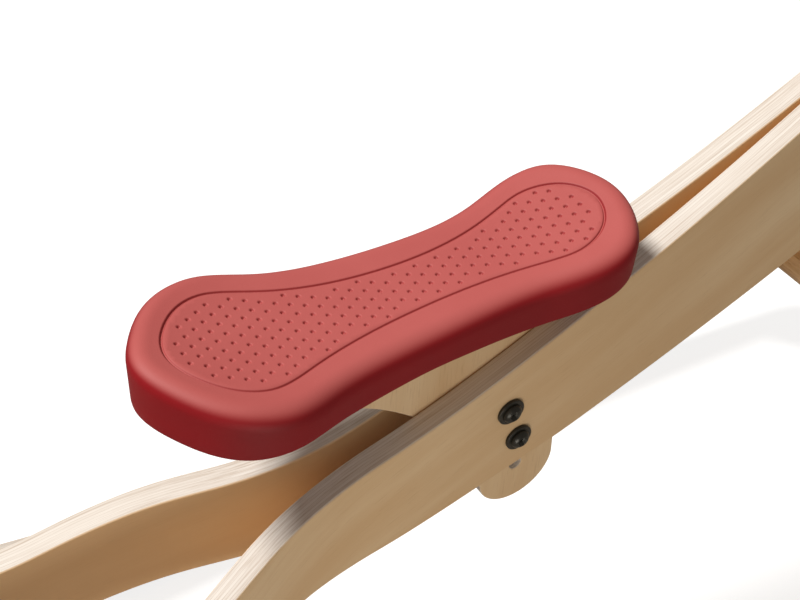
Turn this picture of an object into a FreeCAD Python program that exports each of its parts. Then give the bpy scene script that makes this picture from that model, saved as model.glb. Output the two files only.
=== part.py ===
import FreeCAD, Part
import math
import os
import Sketcher
from FreeCAD import Placement, Rotation, Vector

# A toddler's rocking horse of bent birch plywood, in millimetres.
# X points forward, Y to the horse's left, Z up; Z = 0 is the floor.

os.makedirs("parts", exist_ok=True)
doc = FreeCAD.newDocument("RockingHorse")

SIZES = {
    # saddle and its plate
    "saddle_x": 5.0,
    "saddle_top": 290.0,
    "board_thickness": 6.0,
    "board_top_drop": 8.0,
    "board_rear": 46.0,
    "board_front": 70.0,
    "board_half_width": 20.0,
    "recess_margin": 4.0,
    "recess_depth": 30.0,
    "saddle_block": 80.0,
    "saddle_block_width": 120.0,
    "plate_thickness": 11.4,
    "slot_half_width": 3.3,
    "bolt_pitch": 21.7,
    "clamp_x": 58.0,
    "clamp_drop": 82.0,
    "clamp_lean": 18.7,
    "lobe_radius": 22.0,
    # plywood frame
    "rail_thickness": 12.0,
    "rail_half_gap": 6.0,
    "rail_end_radius": 26.0,
    "rail_rear_x": 350.0,
    "rail_rear_z": 96.0,
    "runner_thickness": 18.0,
    "runner_depth": 46.0,
    "runner_inner": 122.0,
    "rocker_radius": 1150.0,
    "rocker_centre": 75.0,
    "rest_half_length": 65.0,
    "runner_end": 392.0,
    "strip_thickness": 2.0,
    "strip_width": 12.0,
    "strip_end": 360.0,
    "leg_width": 50.0,
    "stretcher_radius": 13.0,
    # head
    "rail_front_gap": 0.1,
    "head_half_gap": 12.1,
    "cheek_thickness": 9.0,
    "mane_half_width": 11.0,
    "ear_thickness": 4.0,
    "eye_radius": 7.0,
    "eye_height": 3.0,
    "handle_radius": 11.0,
    "handle_half_length": 108.0,
    "grip_radius": 15.0,
    "grip_start": 30.0,
    "grip_end": 113.0,
    # foot pegs
    "peg_x": 118.0,
    "peg_radius": 12.0,
    "peg_length": 42.0,
    "tenon_radius": 9.0,
    "cap_radius": 14.0,
    "cap_length": 16.0,
    "cap_wall": 3.0,
    # fasteners
    "bolt_radius": 3.0,
    "bolt_hole": 3.2,
    "head_radius": 4.9,
    "head_height": 2.8,
    "head_round": 1.6,
    "cutter_width": 300.0,
    "cutter_height": 500.0,
    "socket_radius": 2.4,
    "socket_depth": 1.7,
    "washer_radius": 7.0,
    "washer_thickness": 1.6,
    "nut_radius": 6.5,
    "nut_height": 7.5,
    "nut_round": 3.0,
    "nut_grip": 5.0,
    "screw_depth": 30.0,
    "saddle_screw_length": 32.0,
    "saddle_screw_radius": 2.0,
}

sheet = doc.addObject("Spreadsheet::Sheet", "Sizes")
for row, (word, value) in enumerate(SIZES.items(), start=1):
    sheet.set(f"A{row}", word)
    sheet.set(f"B{row}", str(value))
    sheet.setAlias(f"B{row}", word)
doc.recompute()


def size(word):
    return float(sheet.get(word))


nodes = {}


def keep(item, name):
    """Label an object as the sub-part of that name."""
    item.Label = name
    nodes[name] = item
    return item


# ---------------------------------------------------------------- outlines

def flat(point):
    return Vector(point[0], point[1], 0)


def line(start, end):
    return Part.LineSegment(flat(start), flat(end))


def arc(start, middle, end):
    return Part.Arc(flat(start), flat(middle), flat(end))


def spline(points):
    curve = Part.BSplineCurve()
    curve.interpolate([flat(point) for point in points])
    return curve


def closed_spline(points):
    curve = Part.BSplineCurve()
    curve.interpolate([flat(point) for point in points], PeriodicFlag=True)
    return curve


def circle(centre, radius):
    return Part.Circle(flat(centre), Vector(0, 0, 1), radius)


def stadium(start, end, radius):
    """Two half circles joined by their tangents, as four curves."""
    along = (flat(end) - flat(start)).normalize() * radius
    across = Vector(-along.y, along.x, 0)
    a, b = flat(start), flat(end)
    return [
        line(a + across, b + across),
        arc(b + across, b + along, b - across),
        line(b - across, a - across),
        arc(a - across, a - along, a + across),
    ]


def bent_strip(points, radii, thickness):
    """Outline of a sheet bent along points, with a bend radius at each inner point."""
    corners = [flat(point) for point in points]
    sides = []
    for side in (1, -1):
        curves = []
        first = (corners[1] - corners[0]).normalize()
        last = corners[0] + Vector(-first.y, first.x, 0) * side * thickness / 2
        for before, corner, after, radius in zip(corners, corners[1:], corners[2:], radii):
            arrive = (corner - before).normalize()
            leave = (after - corner).normalize()
            turn = arrive.getAngle(leave)
            reach = radius * math.tan(turn / 2)
            centre = corner + (leave - arrive).normalize() * radius / math.cos(turn / 2)
            bend_start, bend_end = corner - arrive * reach, corner + leave * reach
            inside = math.copysign(1, (leave - arrive).dot(Vector(-arrive.y, arrive.x, 0)))
            scale = (radius - side * inside * thickness / 2) / radius
            entry = centre + (bend_start - centre) * scale
            exit_point = centre + (bend_end - centre) * scale
            middle = centre + (corner - centre).normalize() * radius * scale
            curves += [line(last, entry), arc(entry, middle, exit_point)]
            last = exit_point
        heading = (corners[-1] - corners[-2]).normalize()
        end = corners[-1] + Vector(-heading.y, heading.x, 0) * side * thickness / 2
        curves.append(line(last, end))
        sides.append(curves)
    left, right = sides
    return left + right + [
        line(left[0].StartPoint, right[0].StartPoint),
        line(left[-1].EndPoint, right[-1].EndPoint),
    ]


def mirrored(points):
    return [(x, -y) for x, y in points]


# ---------------------------------------------------------------- features

def plane_of(body, role):
    return next(item for item in body.Origin.OriginFeatures if item.Role == role)


def plate(name, plane, curves, length, offset=None, holes=(), middle=False):
    """A body padded from curves on one of its own planes; length and offset are sheet formulas."""
    body = doc.addObject("PartDesign::Body", name)
    sketch = body.newObject("Sketcher::SketchObject", name + "_sketch")
    sketch.AttachmentSupport = [(plane_of(body, plane), "")]
    sketch.MapMode = "FlatFace"
    for curve in curves:
        sketch.addGeometry(curve, False)
    for place, radius in holes:
        ring = sketch.addGeometry(circle(place, size(radius)), False)
        sketch.addConstraint(Sketcher.Constraint("DistanceX", ring, 3, place[0]))
        sketch.addConstraint(Sketcher.Constraint("DistanceY", ring, 3, place[1]))
        bound = sketch.addConstraint(Sketcher.Constraint("Radius", ring, size(radius)))
        sketch.setExpression(f"Constraints[{bound}]", f"Sizes.{radius}")
    pad = body.newObject("PartDesign::Pad", name + "_pad")
    pad.Profile = sketch
    pad.Midplane = middle
    pad.setExpression("Length", length)
    if offset:
        axis = {"XZ_Plane": "y", "XY_Plane": "z", "YZ_Plane": "x"}[plane]
        body.setExpression(f"Placement.Base.{axis}", offset)
    return body


def side_plate(name, curves, thickness, inner, side, holes=()):
    """A plate in the XZ plane; inner is the formula for its inner face's distance from Y = 0."""
    if side > 0:
        offset = f"({inner}) + ({thickness})"
    else:
        offset = f"-({inner})"
    return plate(name, "XZ_Plane", curves, thickness, offset, holes)


def common(name, base, tool):
    item = doc.addObject("Part::Common", name)
    item.Base, item.Tool = base, tool
    return item


def cylinder(name, radius, height, lift=None):
    item = doc.addObject("Part::Cylinder", name)
    item.setExpression("Radius", radius)
    item.setExpression("Height", height)
    if lift:
        item.setExpression("Placement.Base.z", lift)
    return item


def cut(name, base, tool):
    item = doc.addObject("Part::Cut", name)
    item.Base, item.Tool = base, tool
    return item


def fuse(name, base, tool):
    item = doc.addObject("Part::Fuse", name)
    item.Base, item.Tool = base, tool
    return item


def round_top(name, base, radius):
    """Round the top rim of a cylinder that stands on its own Z axis."""
    doc.recompute()
    top = max(edge.BoundBox.ZMin for edge in base.Shape.Edges)
    rims = [
        number
        for number, edge in enumerate(base.Shape.Edges, start=1)
        if edge.BoundBox.ZMin > top - 1e-6 and isinstance(edge.Curve, Part.Circle)
    ]
    item = doc.addObject("Part::Fillet", name)
    item.Base = base
    item.Edges = [(number, size(radius), size(radius)) for number in rims]
    return item


def point_along(item, x, y, z, side):
    """Place an object built on its own Z axis so that the axis points along side times Y."""
    item.Placement = Placement(Vector(x, y, z), Rotation(Vector(1, 0, 0), -90 * side))
    return item


def group(name, items):
    item = doc.addObject("Part::Compound", name)
    item.Links = items
    return keep(item, name)


def button_bolt(name, place, head_face, side, length):
    """A round-headed bolt along Y with a hex socket; head_face is the Y of the head's underside."""
    shank = cylinder(name + "_shank", "Sizes.bolt_radius", f"{length}", f"-({length})")
    blank = cylinder(name + "_blank", "Sizes.head_radius", "Sizes.head_height")
    head = round_top(name + "_head", blank, "head_round")
    socket = doc.addObject("Part::Prism", name + "_socket")
    socket.Polygon = 6
    socket.setExpression("Circumradius", "Sizes.socket_radius")
    socket.setExpression("Height", "Sizes.socket_depth")
    socket.setExpression("Placement.Base.z", "Sizes.head_height - Sizes.socket_depth")
    bolt = cut(name, fuse(name + "_body", shank, head), socket)
    return point_along(bolt, place[0], head_face, place[1], side)


def cap_nut(name, place, face, side):
    """A domed nut along Y whose flat side lies on face; its bore takes the end of a bolt."""
    blank = cylinder(name + "_blank", "Sizes.nut_radius", "Sizes.nut_height")
    dome = round_top(name + "_dome", blank, "nut_round")
    bore = cylinder(name + "_bore", "Sizes.bolt_radius", "Sizes.nut_grip")
    return point_along(cut(name, dome, bore), place[0], face, place[1], side)


def washer(name, place, face, side):
    disc = cylinder(name + "_disc", "Sizes.washer_radius", "Sizes.washer_thickness")
    hole = cylinder(name + "_hole", "Sizes.bolt_hole", "Sizes.washer_thickness")
    return point_along(cut(name, disc, hole), place[0], face, place[1], side)


# ---------------------------------------------------------------- shared places

seat = (size("saddle_x"), size("saddle_top"))


def from_saddle(x, z):
    """A point in the XZ plane, counted from the middle of the saddle's top."""
    return (seat[0] + x, seat[1] + z)


lean = math.radians(size("clamp_lean"))


def clamp_point(steps):
    """The clamp bolts' row runs down and forward in equal steps from the upper bolt."""
    reach = steps * size("bolt_pitch")
    return from_saddle(
        size("clamp_x") + reach * math.sin(lean), -size("clamp_drop") - reach * math.cos(lean)
    )


clamp_places = [clamp_point(0), clamp_point(1)]
lobe_centre = clamp_point(3)
slot_end = clamp_point(2.88)

rocker_z = math.sqrt(size("rocker_radius") ** 2 - size("rest_half_length") ** 2)
rocker = Vector(size("rocker_centre"), rocker_z, 0)
middle_radius = size("rocker_radius") - size("strip_thickness") - size("runner_depth") / 2


def rocker_height(x, radius):
    """Height of the rocker's arc of that radius at x."""
    return rocker.y - math.sqrt(radius**2 - (x - rocker.x) ** 2)


def on_runner(x):
    """A point on the runner's middle line."""
    return (x, rocker_height(x, middle_radius))


rear_bolt, rear_screw = on_runner(-341.0), (-363.0, 100.0)
front_bolt, front_screw = (376.0, 70.0), (399.0, 82.0)
neck_places = [(284.0, 300.0)]
leg_places = [(322.0, 306.0), (322.0, 281.0)]
head_places = [(308.0, 470.0), (364.0, 430.0)]
handle_place = (320.0, 414.0)
eye_place = (356.0, 468.0)
peg_place = on_runner(size("peg_x"))

# ---------------------------------------------------------------- saddle

# the top dips lengthwise like a shallow banana: height = bend * x^2 + curl * x^4
saddle_bend, saddle_curl = 7.65e-4, 3.63e-8
saddle_half = [
    (116.8, 0.0), (112.3, 19.2), (99.8, 34.0), (85.5, 37.2), (58.0, 32.4), (20.0, 31.1),
    (-14.0, 33.6), (-42.0, 39.0), (-66.0, 45.5), (-88.0, 38.8), (-105.0, 19.6), (-112.0, 0.0),
]
saddle_under = [
    (-125.0, -10.5), (-104.0, -14.0), (-84.0, -15.5), (-57.0, -14.0), (-38.0, -16.8),
    (0.0, -17.6), (55.0, -17.9), (79.0, -14.0), (100.0, -9.0), (125.0, 1.0),
]
saddle_top_line = [
    from_saddle(x, saddle_bend * x**2 + saddle_curl * x**4) for x in range(-125, 126, 50)
]
saddle_under_line = [from_saddle(x, z) for x, z in saddle_under]

around = saddle_half + mirrored(saddle_half[-2:0:-1])
saddle_plan = plate(
    "saddle_plan", "XY_Plane", [closed_spline([(seat[0] + x, y) for x, y in around])],
    "Sizes.saddle_block", "Sizes.saddle_top - Sizes.saddle_block / 2",
)
saddle_side = plate(
    "saddle_side", "XZ_Plane",
    [
        spline(saddle_top_line),
        line(saddle_top_line[-1], saddle_under_line[-1]),
        spline(saddle_under_line),
        line(saddle_under_line[0], saddle_top_line[0]),
    ],
    "Sizes.saddle_block_width", middle=True,
)
rear, front = size("board_rear"), size("board_front")
board_width = size("board_half_width")
saddle_board = keep(plate(
    "saddle_board", "XY_Plane",
    stadium((seat[0] - rear + board_width, 0), (seat[0] + front - board_width, 0), board_width),
    "Sizes.board_thickness",
    "Sizes.saddle_top - Sizes.board_top_drop - Sizes.board_thickness",
), "saddle_board")
recess = plate(
    "saddle_recess", "XY_Plane",
    stadium(
        (seat[0] - rear + board_width, 0), (seat[0] + front - board_width, 0),
        board_width + size("recess_margin"),
    ),
    "Sizes.recess_depth", "Sizes.saddle_top - Sizes.board_top_drop - Sizes.recess_depth",
)
keep(cut("saddle_pad", common("saddle_blank", saddle_plan, saddle_side), recess), "saddle_pad")

board_under = -size("board_top_drop") - size("board_thickness")
wing_rear = [
    from_saddle(x, z)
    for x, z in [(-44, board_under), (-47, -26), (-37, -42), (-10, -57.4), (15, -76)]
]
front_edge = [from_saddle(x, z) for x, z in [(99, -120), (92, -70), (84, -34), (68, board_under)]]
lobe_turn = math.radians(8)
lobe_back = (
    lobe_centre[0] - size("lobe_radius") * math.cos(lobe_turn),
    lobe_centre[1] - size("lobe_radius") * math.sin(lobe_turn),
)
lobe_front = (lobe_centre[0] + size("lobe_radius"), lobe_centre[1])
lobe_tip = (lobe_centre[0], lobe_centre[1] - size("lobe_radius"))
slot = stadium(clamp_places[0], slot_end, size("slot_half_width"))
keep(plate(
    "seat_plate", "XZ_Plane",
    [
        spline(wing_rear),
        line(wing_rear[-1], lobe_back),
        arc(lobe_back, lobe_tip, lobe_front),
        spline([lobe_front] + front_edge),
        line(front_edge[-1], wing_rear[0]),
    ] + slot,
    "Sizes.plate_thickness", middle=True,
), "seat_plate")

screw_places = (-28.0, 12.0, 52.0)
screws = []
for number, x in enumerate(screw_places, start=1):
    screw = cylinder(
        f"saddle_screw_{number}", "Sizes.saddle_screw_radius", "Sizes.saddle_screw_length",
        "Sizes.saddle_top - Sizes.board_top_drop - Sizes.saddle_screw_length",
    )
    screw.Placement.Base.x = seat[0] + x
    screws.append(screw)
group("saddle_screws", screws)

# ---------------------------------------------------------------- rails

rail_rear = (-size("rail_rear_x"), size("rail_rear_z"))
rail_end = size("rail_end_radius")
rail_nose = (346.0, 314.0)
rail_top = [
    (rail_rear[0], rail_rear[1] + rail_end), (-268.0, 130.5), (-205.0, 146.0), (-159.0, 162.0),
    (-90.0, 189.5), (-36.0, 202.0), (24.0, 219.0), (101.0, 251.7), (173.0, 285.0),
    (233.0, 316.5), (312.0, 362.0),
]
rail_bottom = [
    (rail_rear[0], rail_rear[1] - rail_end), (-285.0, 79.0), (-200.0, 98.0), (-114.0, 129.0),
    (-60.0, 144.0), (-18.0, 147.5), (48.0, 161.5), (149.0, 191.0), (233.0, 220.0),
    (316.0, 254.0),
]
rail_curves = [
    spline(rail_top),
    arc(rail_top[-1], rail_nose, rail_bottom[-1]),
    spline(rail_bottom),
    arc(rail_bottom[0], (rail_rear[0] - rail_end, rail_rear[1]), rail_top[0]),
]
half_rail = size("rail_thickness") / 2
seat_line = size("rail_half_gap") + half_rail
front_line = size("rail_front_gap") + half_rail
rear_line = size("runner_inner") - half_rail
rail_route = [
    (360.0, front_line), (255.0, front_line), (97.0, seat_line), (-38.7, seat_line),
    (-109.0, 39.4), (-165.0, 53.35), (-300.0, rear_line), (-390.0, rear_line),
]
rail_bends = [400.0, 400.0, 180.0, 434.0, 250.0, 150.0]
rail_holes = [
    (place, "bolt_hole")
    for place in clamp_places + neck_places + leg_places + [rear_bolt, rear_screw]
]
sides = (("left", 1), ("right", -1))
for word, side in sides:
    route = rail_route if side > 0 else mirrored(rail_route)
    profile = plate(
        f"rail_{word}_side", "XZ_Plane", rail_curves, "Sizes.cutter_width", middle=True,
        holes=rail_holes,
    )
    strip = plate(
        f"rail_{word}_bend", "XY_Plane",
        bent_strip(route, rail_bends, size("rail_thickness")), "Sizes.cutter_height",
    )
    keep(common(f"rail_{word}", profile, strip), f"rail_{word}")

# ---------------------------------------------------------------- runners and floor strips

def rocker_point(radius, angle):
    return rocker + Vector(radius * math.sin(angle), -radius * math.cos(angle), 0)


def rocker_angle(x, radius):
    return math.asin((x - rocker.x) / radius)


def rocker_band(outer, inner, rear_x, front_x, round_ends):
    """Curves of a band between two radii, with the flat stretch that it rests on."""
    middle = (outer + inner) / 2
    back, ahead = rocker_angle(rear_x, middle), rocker_angle(front_x, middle)
    rest = []
    for radius in (outer, inner):
        level = rocker.y - size("rocker_radius") + radius
        half = math.sqrt(radius**2 - level**2)
        rest.append((math.asin(half / radius), radius))
    (low_rest, _), (high_rest, _) = rest
    low = [
        arc(rocker_point(outer, back), rocker_point(outer, (back - low_rest) / 2),
            rocker_point(outer, -low_rest)),
        line(rocker_point(outer, -low_rest), rocker_point(outer, low_rest)),
        arc(rocker_point(outer, low_rest), rocker_point(outer, (ahead + low_rest) / 2),
            rocker_point(outer, ahead)),
    ]
    if round_ends:
        half_depth = (outer - inner) / 2
        ahead_out = Vector(math.cos(ahead), math.sin(ahead), 0) * half_depth
        back_out = Vector(math.cos(back), math.sin(back), 0) * half_depth
        return low + [
            arc(rocker_point(outer, ahead), rocker_point(middle, ahead) + ahead_out,
                rocker_point(inner, ahead)),
            arc(rocker_point(inner, back), rocker_point(inner, (back + ahead) / 2),
                rocker_point(inner, ahead)),
            arc(rocker_point(outer, back), rocker_point(middle, back) - back_out,
                rocker_point(inner, back)),
        ]
    return low + [
        line(rocker_point(outer, ahead), rocker_point(inner, ahead)),
        arc(rocker_point(inner, high_rest), rocker_point(inner, (ahead + high_rest) / 2),
            rocker_point(inner, ahead)),
        line(rocker_point(inner, -high_rest), rocker_point(inner, high_rest)),
        arc(rocker_point(inner, back), rocker_point(inner, (back - high_rest) / 2),
            rocker_point(inner, -high_rest)),
        line(rocker_point(outer, back), rocker_point(inner, back)),
    ]


floor_radius = size("rocker_radius")
wood_radius = floor_radius - size("strip_thickness")
runner_curves = rocker_band(
    wood_radius, wood_radius - size("runner_depth"), -size("runner_end"), size("runner_end"), True
)
strip_curves = rocker_band(
    floor_radius, wood_radius, -size("strip_end"), size("strip_end"), False
)
runner_holes = [
    (place, "bolt_hole") for place in (rear_bolt, rear_screw, front_bolt, front_screw)
] + [(peg_place, "tenon_radius")]
for word, side in sides:
    keep(side_plate(
        f"runner_{word}", runner_curves, "Sizes.runner_thickness", "Sizes.runner_inner", side,
        runner_holes,
    ), f"runner_{word}")
    keep(side_plate(
        f"floor_strip_{word}", strip_curves, "Sizes.strip_width",
        "Sizes.runner_inner + (Sizes.runner_thickness - Sizes.strip_width) / 2", side,
    ), f"floor_strip_{word}")

# ---------------------------------------------------------------- front legs

leg_top, foot_x, foot_lift = (324.0, 300.0), 388.0, 12.0
leg_foot = (foot_x, rocker_height(foot_x, middle_radius) + foot_lift)
leg_centre = size("head_half_gap") + size("cheek_thickness") + half_rail
leg_route = [
    (leg_centre, 360.0), (leg_centre, 245.0), (rear_line, 120.0), (rear_line, 20.0),
]
leg_bends = [90.0, 70.0]
leg_holes = [(place, "bolt_hole") for place in leg_places + [front_bolt, front_screw]]
for word, side in sides:
    route = [(side * y, z) for y, z in leg_route]
    profile = plate(
        f"front_leg_{word}_side", "XZ_Plane",
        stadium(leg_top, leg_foot, size("leg_width") / 2), "Sizes.cutter_width", middle=True,
        holes=leg_holes,
    )
    strip = plate(
        f"front_leg_{word}_bend", "YZ_Plane",
        bent_strip(route, leg_bends, size("rail_thickness")), "Sizes.cutter_height",
    )
    keep(common(f"front_leg_{word}", profile, strip), f"front_leg_{word}")

# ---------------------------------------------------------------- head

cheek_outline = [
    (266.0, 268.0), (265.0, 330.0), (270.0, 385.0), (281.0, 440.0), (300.0, 488.0),
    (326.0, 515.0), (350.0, 510.0), (370.0, 482.0), (394.0, 447.0), (408.0, 424.0),
    (403.0, 404.0), (384.0, 399.0), (364.0, 408.0), (348.0, 394.0), (347.0, 350.0),
    (356.0, 300.0), (350.0, 258.0), (318.0, 238.0), (284.0, 240.0),
]
mane_root = [(286.0, 360.0), (295.0, 400.0), (306.0, 440.0), (321.0, 472.0), (346.0, 496.0)]
core_face = [(346.0, 496.0), (366.0, 478.0), (390.0, 443.0), (402.0, 424.0), (398.0, 408.0),
             (384.0, 404.0), (364.0, 413.0), (346.0, 406.0), (340.0, 392.0), (322.0, 378.0)]
mane_edge = [
    (346.0, 496.0), (352.0, 515.0), (338.0, 529.0), (322.0, 524.0), (310.0, 527.0),
    (300.0, 512.0), (288.0, 508.0), (286.0, 488.0), (273.0, 480.0), (274.0, 460.0),
    (262.0, 448.0), (266.0, 428.0), (254.0, 414.0), (260.0, 394.0), (250.0, 378.0),
    (258.0, 356.0), (272.0, 344.0), (286.0, 360.0),
]
cheek_holes = [(place, "bolt_hole") for place in neck_places + leg_places + head_places]
for word, side in sides:
    keep(side_plate(
        f"head_cheek_{word}", [closed_spline(cheek_outline)], "Sizes.cheek_thickness",
        "Sizes.head_half_gap", side, cheek_holes + [(handle_place, "handle_radius")],
    ), f"head_cheek_{word}")
keep(plate(
    "head_core", "XZ_Plane",
    [spline(mane_root), spline(core_face), line(core_face[-1], mane_root[0])],
    "2 * Sizes.head_half_gap", middle=True,
    holes=[(head_places[1], "bolt_hole"), (handle_place, "handle_radius")],
), "head_core")
keep(plate(
    "mane", "XZ_Plane", [spline(mane_root), spline(mane_edge)], "2 * Sizes.mane_half_width",
    middle=True, holes=[(head_places[0], "bolt_hole")],
), "mane")

ear_tip = (314.0, 545.0)
ear_curves = [
    spline([(318.0, 496.0), (306.0, 520.0), ear_tip]),
    spline([ear_tip, (336.0, 524.0), (338.0, 500.0)]),
    arc((338.0, 500.0), (328.0, 492.0), (318.0, 496.0)),
]
cheek_face = size("head_half_gap") + size("cheek_thickness")
for word, side in sides:
    keep(side_plate(
        f"ear_{word}", ear_curves, "Sizes.ear_thickness",
        "Sizes.head_half_gap + Sizes.cheek_thickness", side,
    ), f"ear_{word}")
    blank = cylinder(f"eye_{word}_blank", "Sizes.eye_radius", "Sizes.eye_height")
    eye = round_top(f"eye_{word}", blank, "head_round")
    keep(point_along(eye, eye_place[0], side * cheek_face, eye_place[1], side), f"eye_{word}")

# ---------------------------------------------------------------- handle and foot pegs

bar = cylinder("handle_bar", "Sizes.handle_radius", "2 * Sizes.handle_half_length")
keep(point_along(
    bar, handle_place[0], -size("handle_half_length"), handle_place[1], 1
), "handle_bar")
for word, side in sides:
    sleeve = cylinder(
        f"grip_{word}_sleeve", "Sizes.grip_radius", "Sizes.grip_end - Sizes.grip_start"
    )
    bore = cylinder(
        f"grip_{word}_bore", "Sizes.handle_radius", "Sizes.handle_half_length - Sizes.grip_start"
    )
    grip = cut(f"grip_{word}", round_top(f"grip_{word}_round", sleeve, "nut_round"), bore)
    keep(point_along(
        grip, handle_place[0], side * size("grip_start"), handle_place[1], side
    ), f"grip_{word}")

    outer = size("runner_inner") + size("runner_thickness")
    peg = cylinder(f"peg_{word}_bar", "Sizes.peg_radius", "Sizes.peg_length")
    tenon = cylinder(
        f"peg_{word}_tenon", "Sizes.tenon_radius", "Sizes.runner_thickness",
        "-Sizes.runner_thickness",
    )
    keep(point_along(
        fuse(f"foot_peg_{word}", peg, tenon), peg_place[0], side * outer, peg_place[1], side
    ), f"foot_peg_{word}")
    blank = cylinder(f"peg_cap_{word}_blank", "Sizes.cap_radius", "Sizes.cap_length")
    bore = cylinder(
        f"peg_cap_{word}_bore", "Sizes.peg_radius", "Sizes.cap_length - Sizes.cap_wall"
    )
    cap = cut(f"peg_cap_{word}", round_top(f"peg_cap_{word}_round", blank, "head_round"), bore)
    cap_start = outer + size("peg_length") - size("cap_length") + size("cap_wall")
    keep(point_along(
        cap, peg_place[0], side * cap_start, peg_place[1], side
    ), f"peg_cap_{word}")

# ---------------------------------------------------------------- stretchers

stretcher_half = size("runner_inner") - size("rail_thickness")
for word, place in (("rear", rear_screw), ("front", front_screw)):
    dowel = cylinder(
        f"{word}_stretcher_bar", "Sizes.stretcher_radius",
        "2 * (Sizes.runner_inner - Sizes.rail_thickness)",
    )
    pilot = cylinder(
        f"{word}_stretcher_pilot", "Sizes.bolt_radius",
        "2 * (Sizes.runner_inner - Sizes.rail_thickness)",
    )
    keep(point_along(
        cut(f"{word}_stretcher", dowel, pilot), place[0], -stretcher_half, place[1], 1
    ), f"{word}_stretcher")

# ---------------------------------------------------------------- fasteners

washer_face = size("rail_half_gap") + size("rail_thickness")
clamp_face = washer_face + size("washer_thickness")
clamp_length = "2 * (Sizes.rail_half_gap + Sizes.rail_thickness + Sizes.washer_thickness)"
group("seat_bolts", [
    button_bolt(f"seat_bolt_{number}", place, -clamp_face, -1, f"{clamp_length} + Sizes.nut_grip")
    for number, place in enumerate(clamp_places, start=1)
])
group("seat_nuts", [
    cap_nut(f"seat_nut_{number}", place, clamp_face, 1)
    for number, place in enumerate(clamp_places, start=1)
])
group("seat_washers", [
    washer(f"seat_washer_{word}_{number}", place, side * washer_face, side)
    for word, side in sides
    for number, place in enumerate(clamp_places, start=1)
])

cheek_length = "2 * (Sizes.head_half_gap + Sizes.cheek_thickness) + Sizes.nut_grip"
leg_length = "2 * (Sizes.head_half_gap + Sizes.cheek_thickness + Sizes.rail_thickness)"
leg_face = cheek_face + size("rail_thickness")
through_sets = (
    ("head", head_places, cheek_face, cheek_length),
    ("neck", neck_places, cheek_face, cheek_length),
    ("leg", leg_places, leg_face, leg_length + " + Sizes.nut_grip"),
)
for word, places, face, length in through_sets:
    group(f"{word}_bolts", [
        button_bolt(f"{word}_bolt_{number}", place, -face, -1, length)
        for number, place in enumerate(places, start=1)
    ])
    group(f"{word}_nuts", [
        cap_nut(f"{word}_nut_{number}", place, face, 1)
        for number, place in enumerate(places, start=1)
    ])

runner_face = size("runner_inner") + size("runner_thickness")
joint_length = "Sizes.runner_thickness + Sizes.rail_thickness"
for word, place in (("rear", rear_bolt), ("front", front_bolt)):
    group(f"{word}_joint_bolts", [
        button_bolt(
            f"{word}_joint_bolt_{name}", place, side * runner_face, side,
            joint_length + " + Sizes.nut_grip",
        )
        for name, side in sides
    ])
    group(f"{word}_joint_nuts", [
        cap_nut(f"{word}_joint_nut_{name}", place, side * stretcher_half, -side)
        for name, side in sides
    ])
group("stretcher_screws", [
    button_bolt(
        f"{word}_stretcher_screw_{name}", place, side * runner_face, side,
        joint_length + " + Sizes.screw_depth",
    )
    for word, place in (("rear", rear_screw), ("front", front_screw))
    for name, side in sides
])

# ---------------------------------------------------------------- checks and files

doc.recompute()
for item in doc.Objects:
    if "Invalid" in item.State or "Error" in item.State:
        raise RuntimeError(f"{item.Label} failed: {item.State}")
for name, item in nodes.items():
    if item.Shape.isNull() or not item.Shape.isValid() or not item.Shape.Solids:
        raise RuntimeError(f"{name} has no valid shape")
    item.Shape.exportStep(f"parts/{name}.step")

mass_point, total = Vector(0, 0, 0), 0.0
low, high = Vector(1e9, 1e9, 1e9), Vector(-1e9, -1e9, -1e9)
for name, item in nodes.items():
    box = item.Shape.BoundBox
    low = Vector(min(low.x, box.XMin), min(low.y, box.YMin), min(low.z, box.ZMin))
    high = Vector(max(high.x, box.XMax), max(high.y, box.YMax), max(high.z, box.ZMax))
    for solid in item.Shape.Solids:
        mass_point += solid.CenterOfMass * solid.Volume
        total += solid.Volume
print(f"{len(nodes)} sub-parts, volume {total / 1e6:.3f} litres")
print("box", [round(v, 2) for v in low], [round(v, 2) for v in high])
print("middle of volume", [round(v / total, 1) for v in mass_point])
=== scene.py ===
import math
import bpy
import numpy as np
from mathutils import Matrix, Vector, geometry


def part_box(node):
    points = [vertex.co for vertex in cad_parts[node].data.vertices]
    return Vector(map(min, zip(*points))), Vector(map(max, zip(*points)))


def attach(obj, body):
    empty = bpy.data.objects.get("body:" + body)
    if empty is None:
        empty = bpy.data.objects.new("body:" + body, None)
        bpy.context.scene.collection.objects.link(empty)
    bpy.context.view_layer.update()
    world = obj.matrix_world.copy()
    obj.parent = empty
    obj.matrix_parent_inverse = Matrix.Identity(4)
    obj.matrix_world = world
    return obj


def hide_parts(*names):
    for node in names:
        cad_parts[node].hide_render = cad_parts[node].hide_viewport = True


# A toddler's rocking horse: moulded foam saddle on a bent birch plywood frame.
# Shapes are worked out in millimetres, X forward, Y to the horse's left, Z up, and put in place in metres.

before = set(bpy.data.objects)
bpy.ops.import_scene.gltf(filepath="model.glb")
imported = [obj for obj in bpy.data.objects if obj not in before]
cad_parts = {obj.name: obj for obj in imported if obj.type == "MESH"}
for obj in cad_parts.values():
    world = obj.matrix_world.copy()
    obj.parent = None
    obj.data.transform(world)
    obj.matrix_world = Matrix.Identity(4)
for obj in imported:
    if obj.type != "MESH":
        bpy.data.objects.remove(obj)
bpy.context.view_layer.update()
mm = 0.001
sides = (("left", 1), ("right", -1))
print("frame loaded:", len(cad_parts), "nodes")


def boxOf(node):
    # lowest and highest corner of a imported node, in millimetres
    low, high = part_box(node)
    return np.array(low) / mm, np.array(high) / mm


# ---- curves and loops, as arrays of points in a plane


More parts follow.
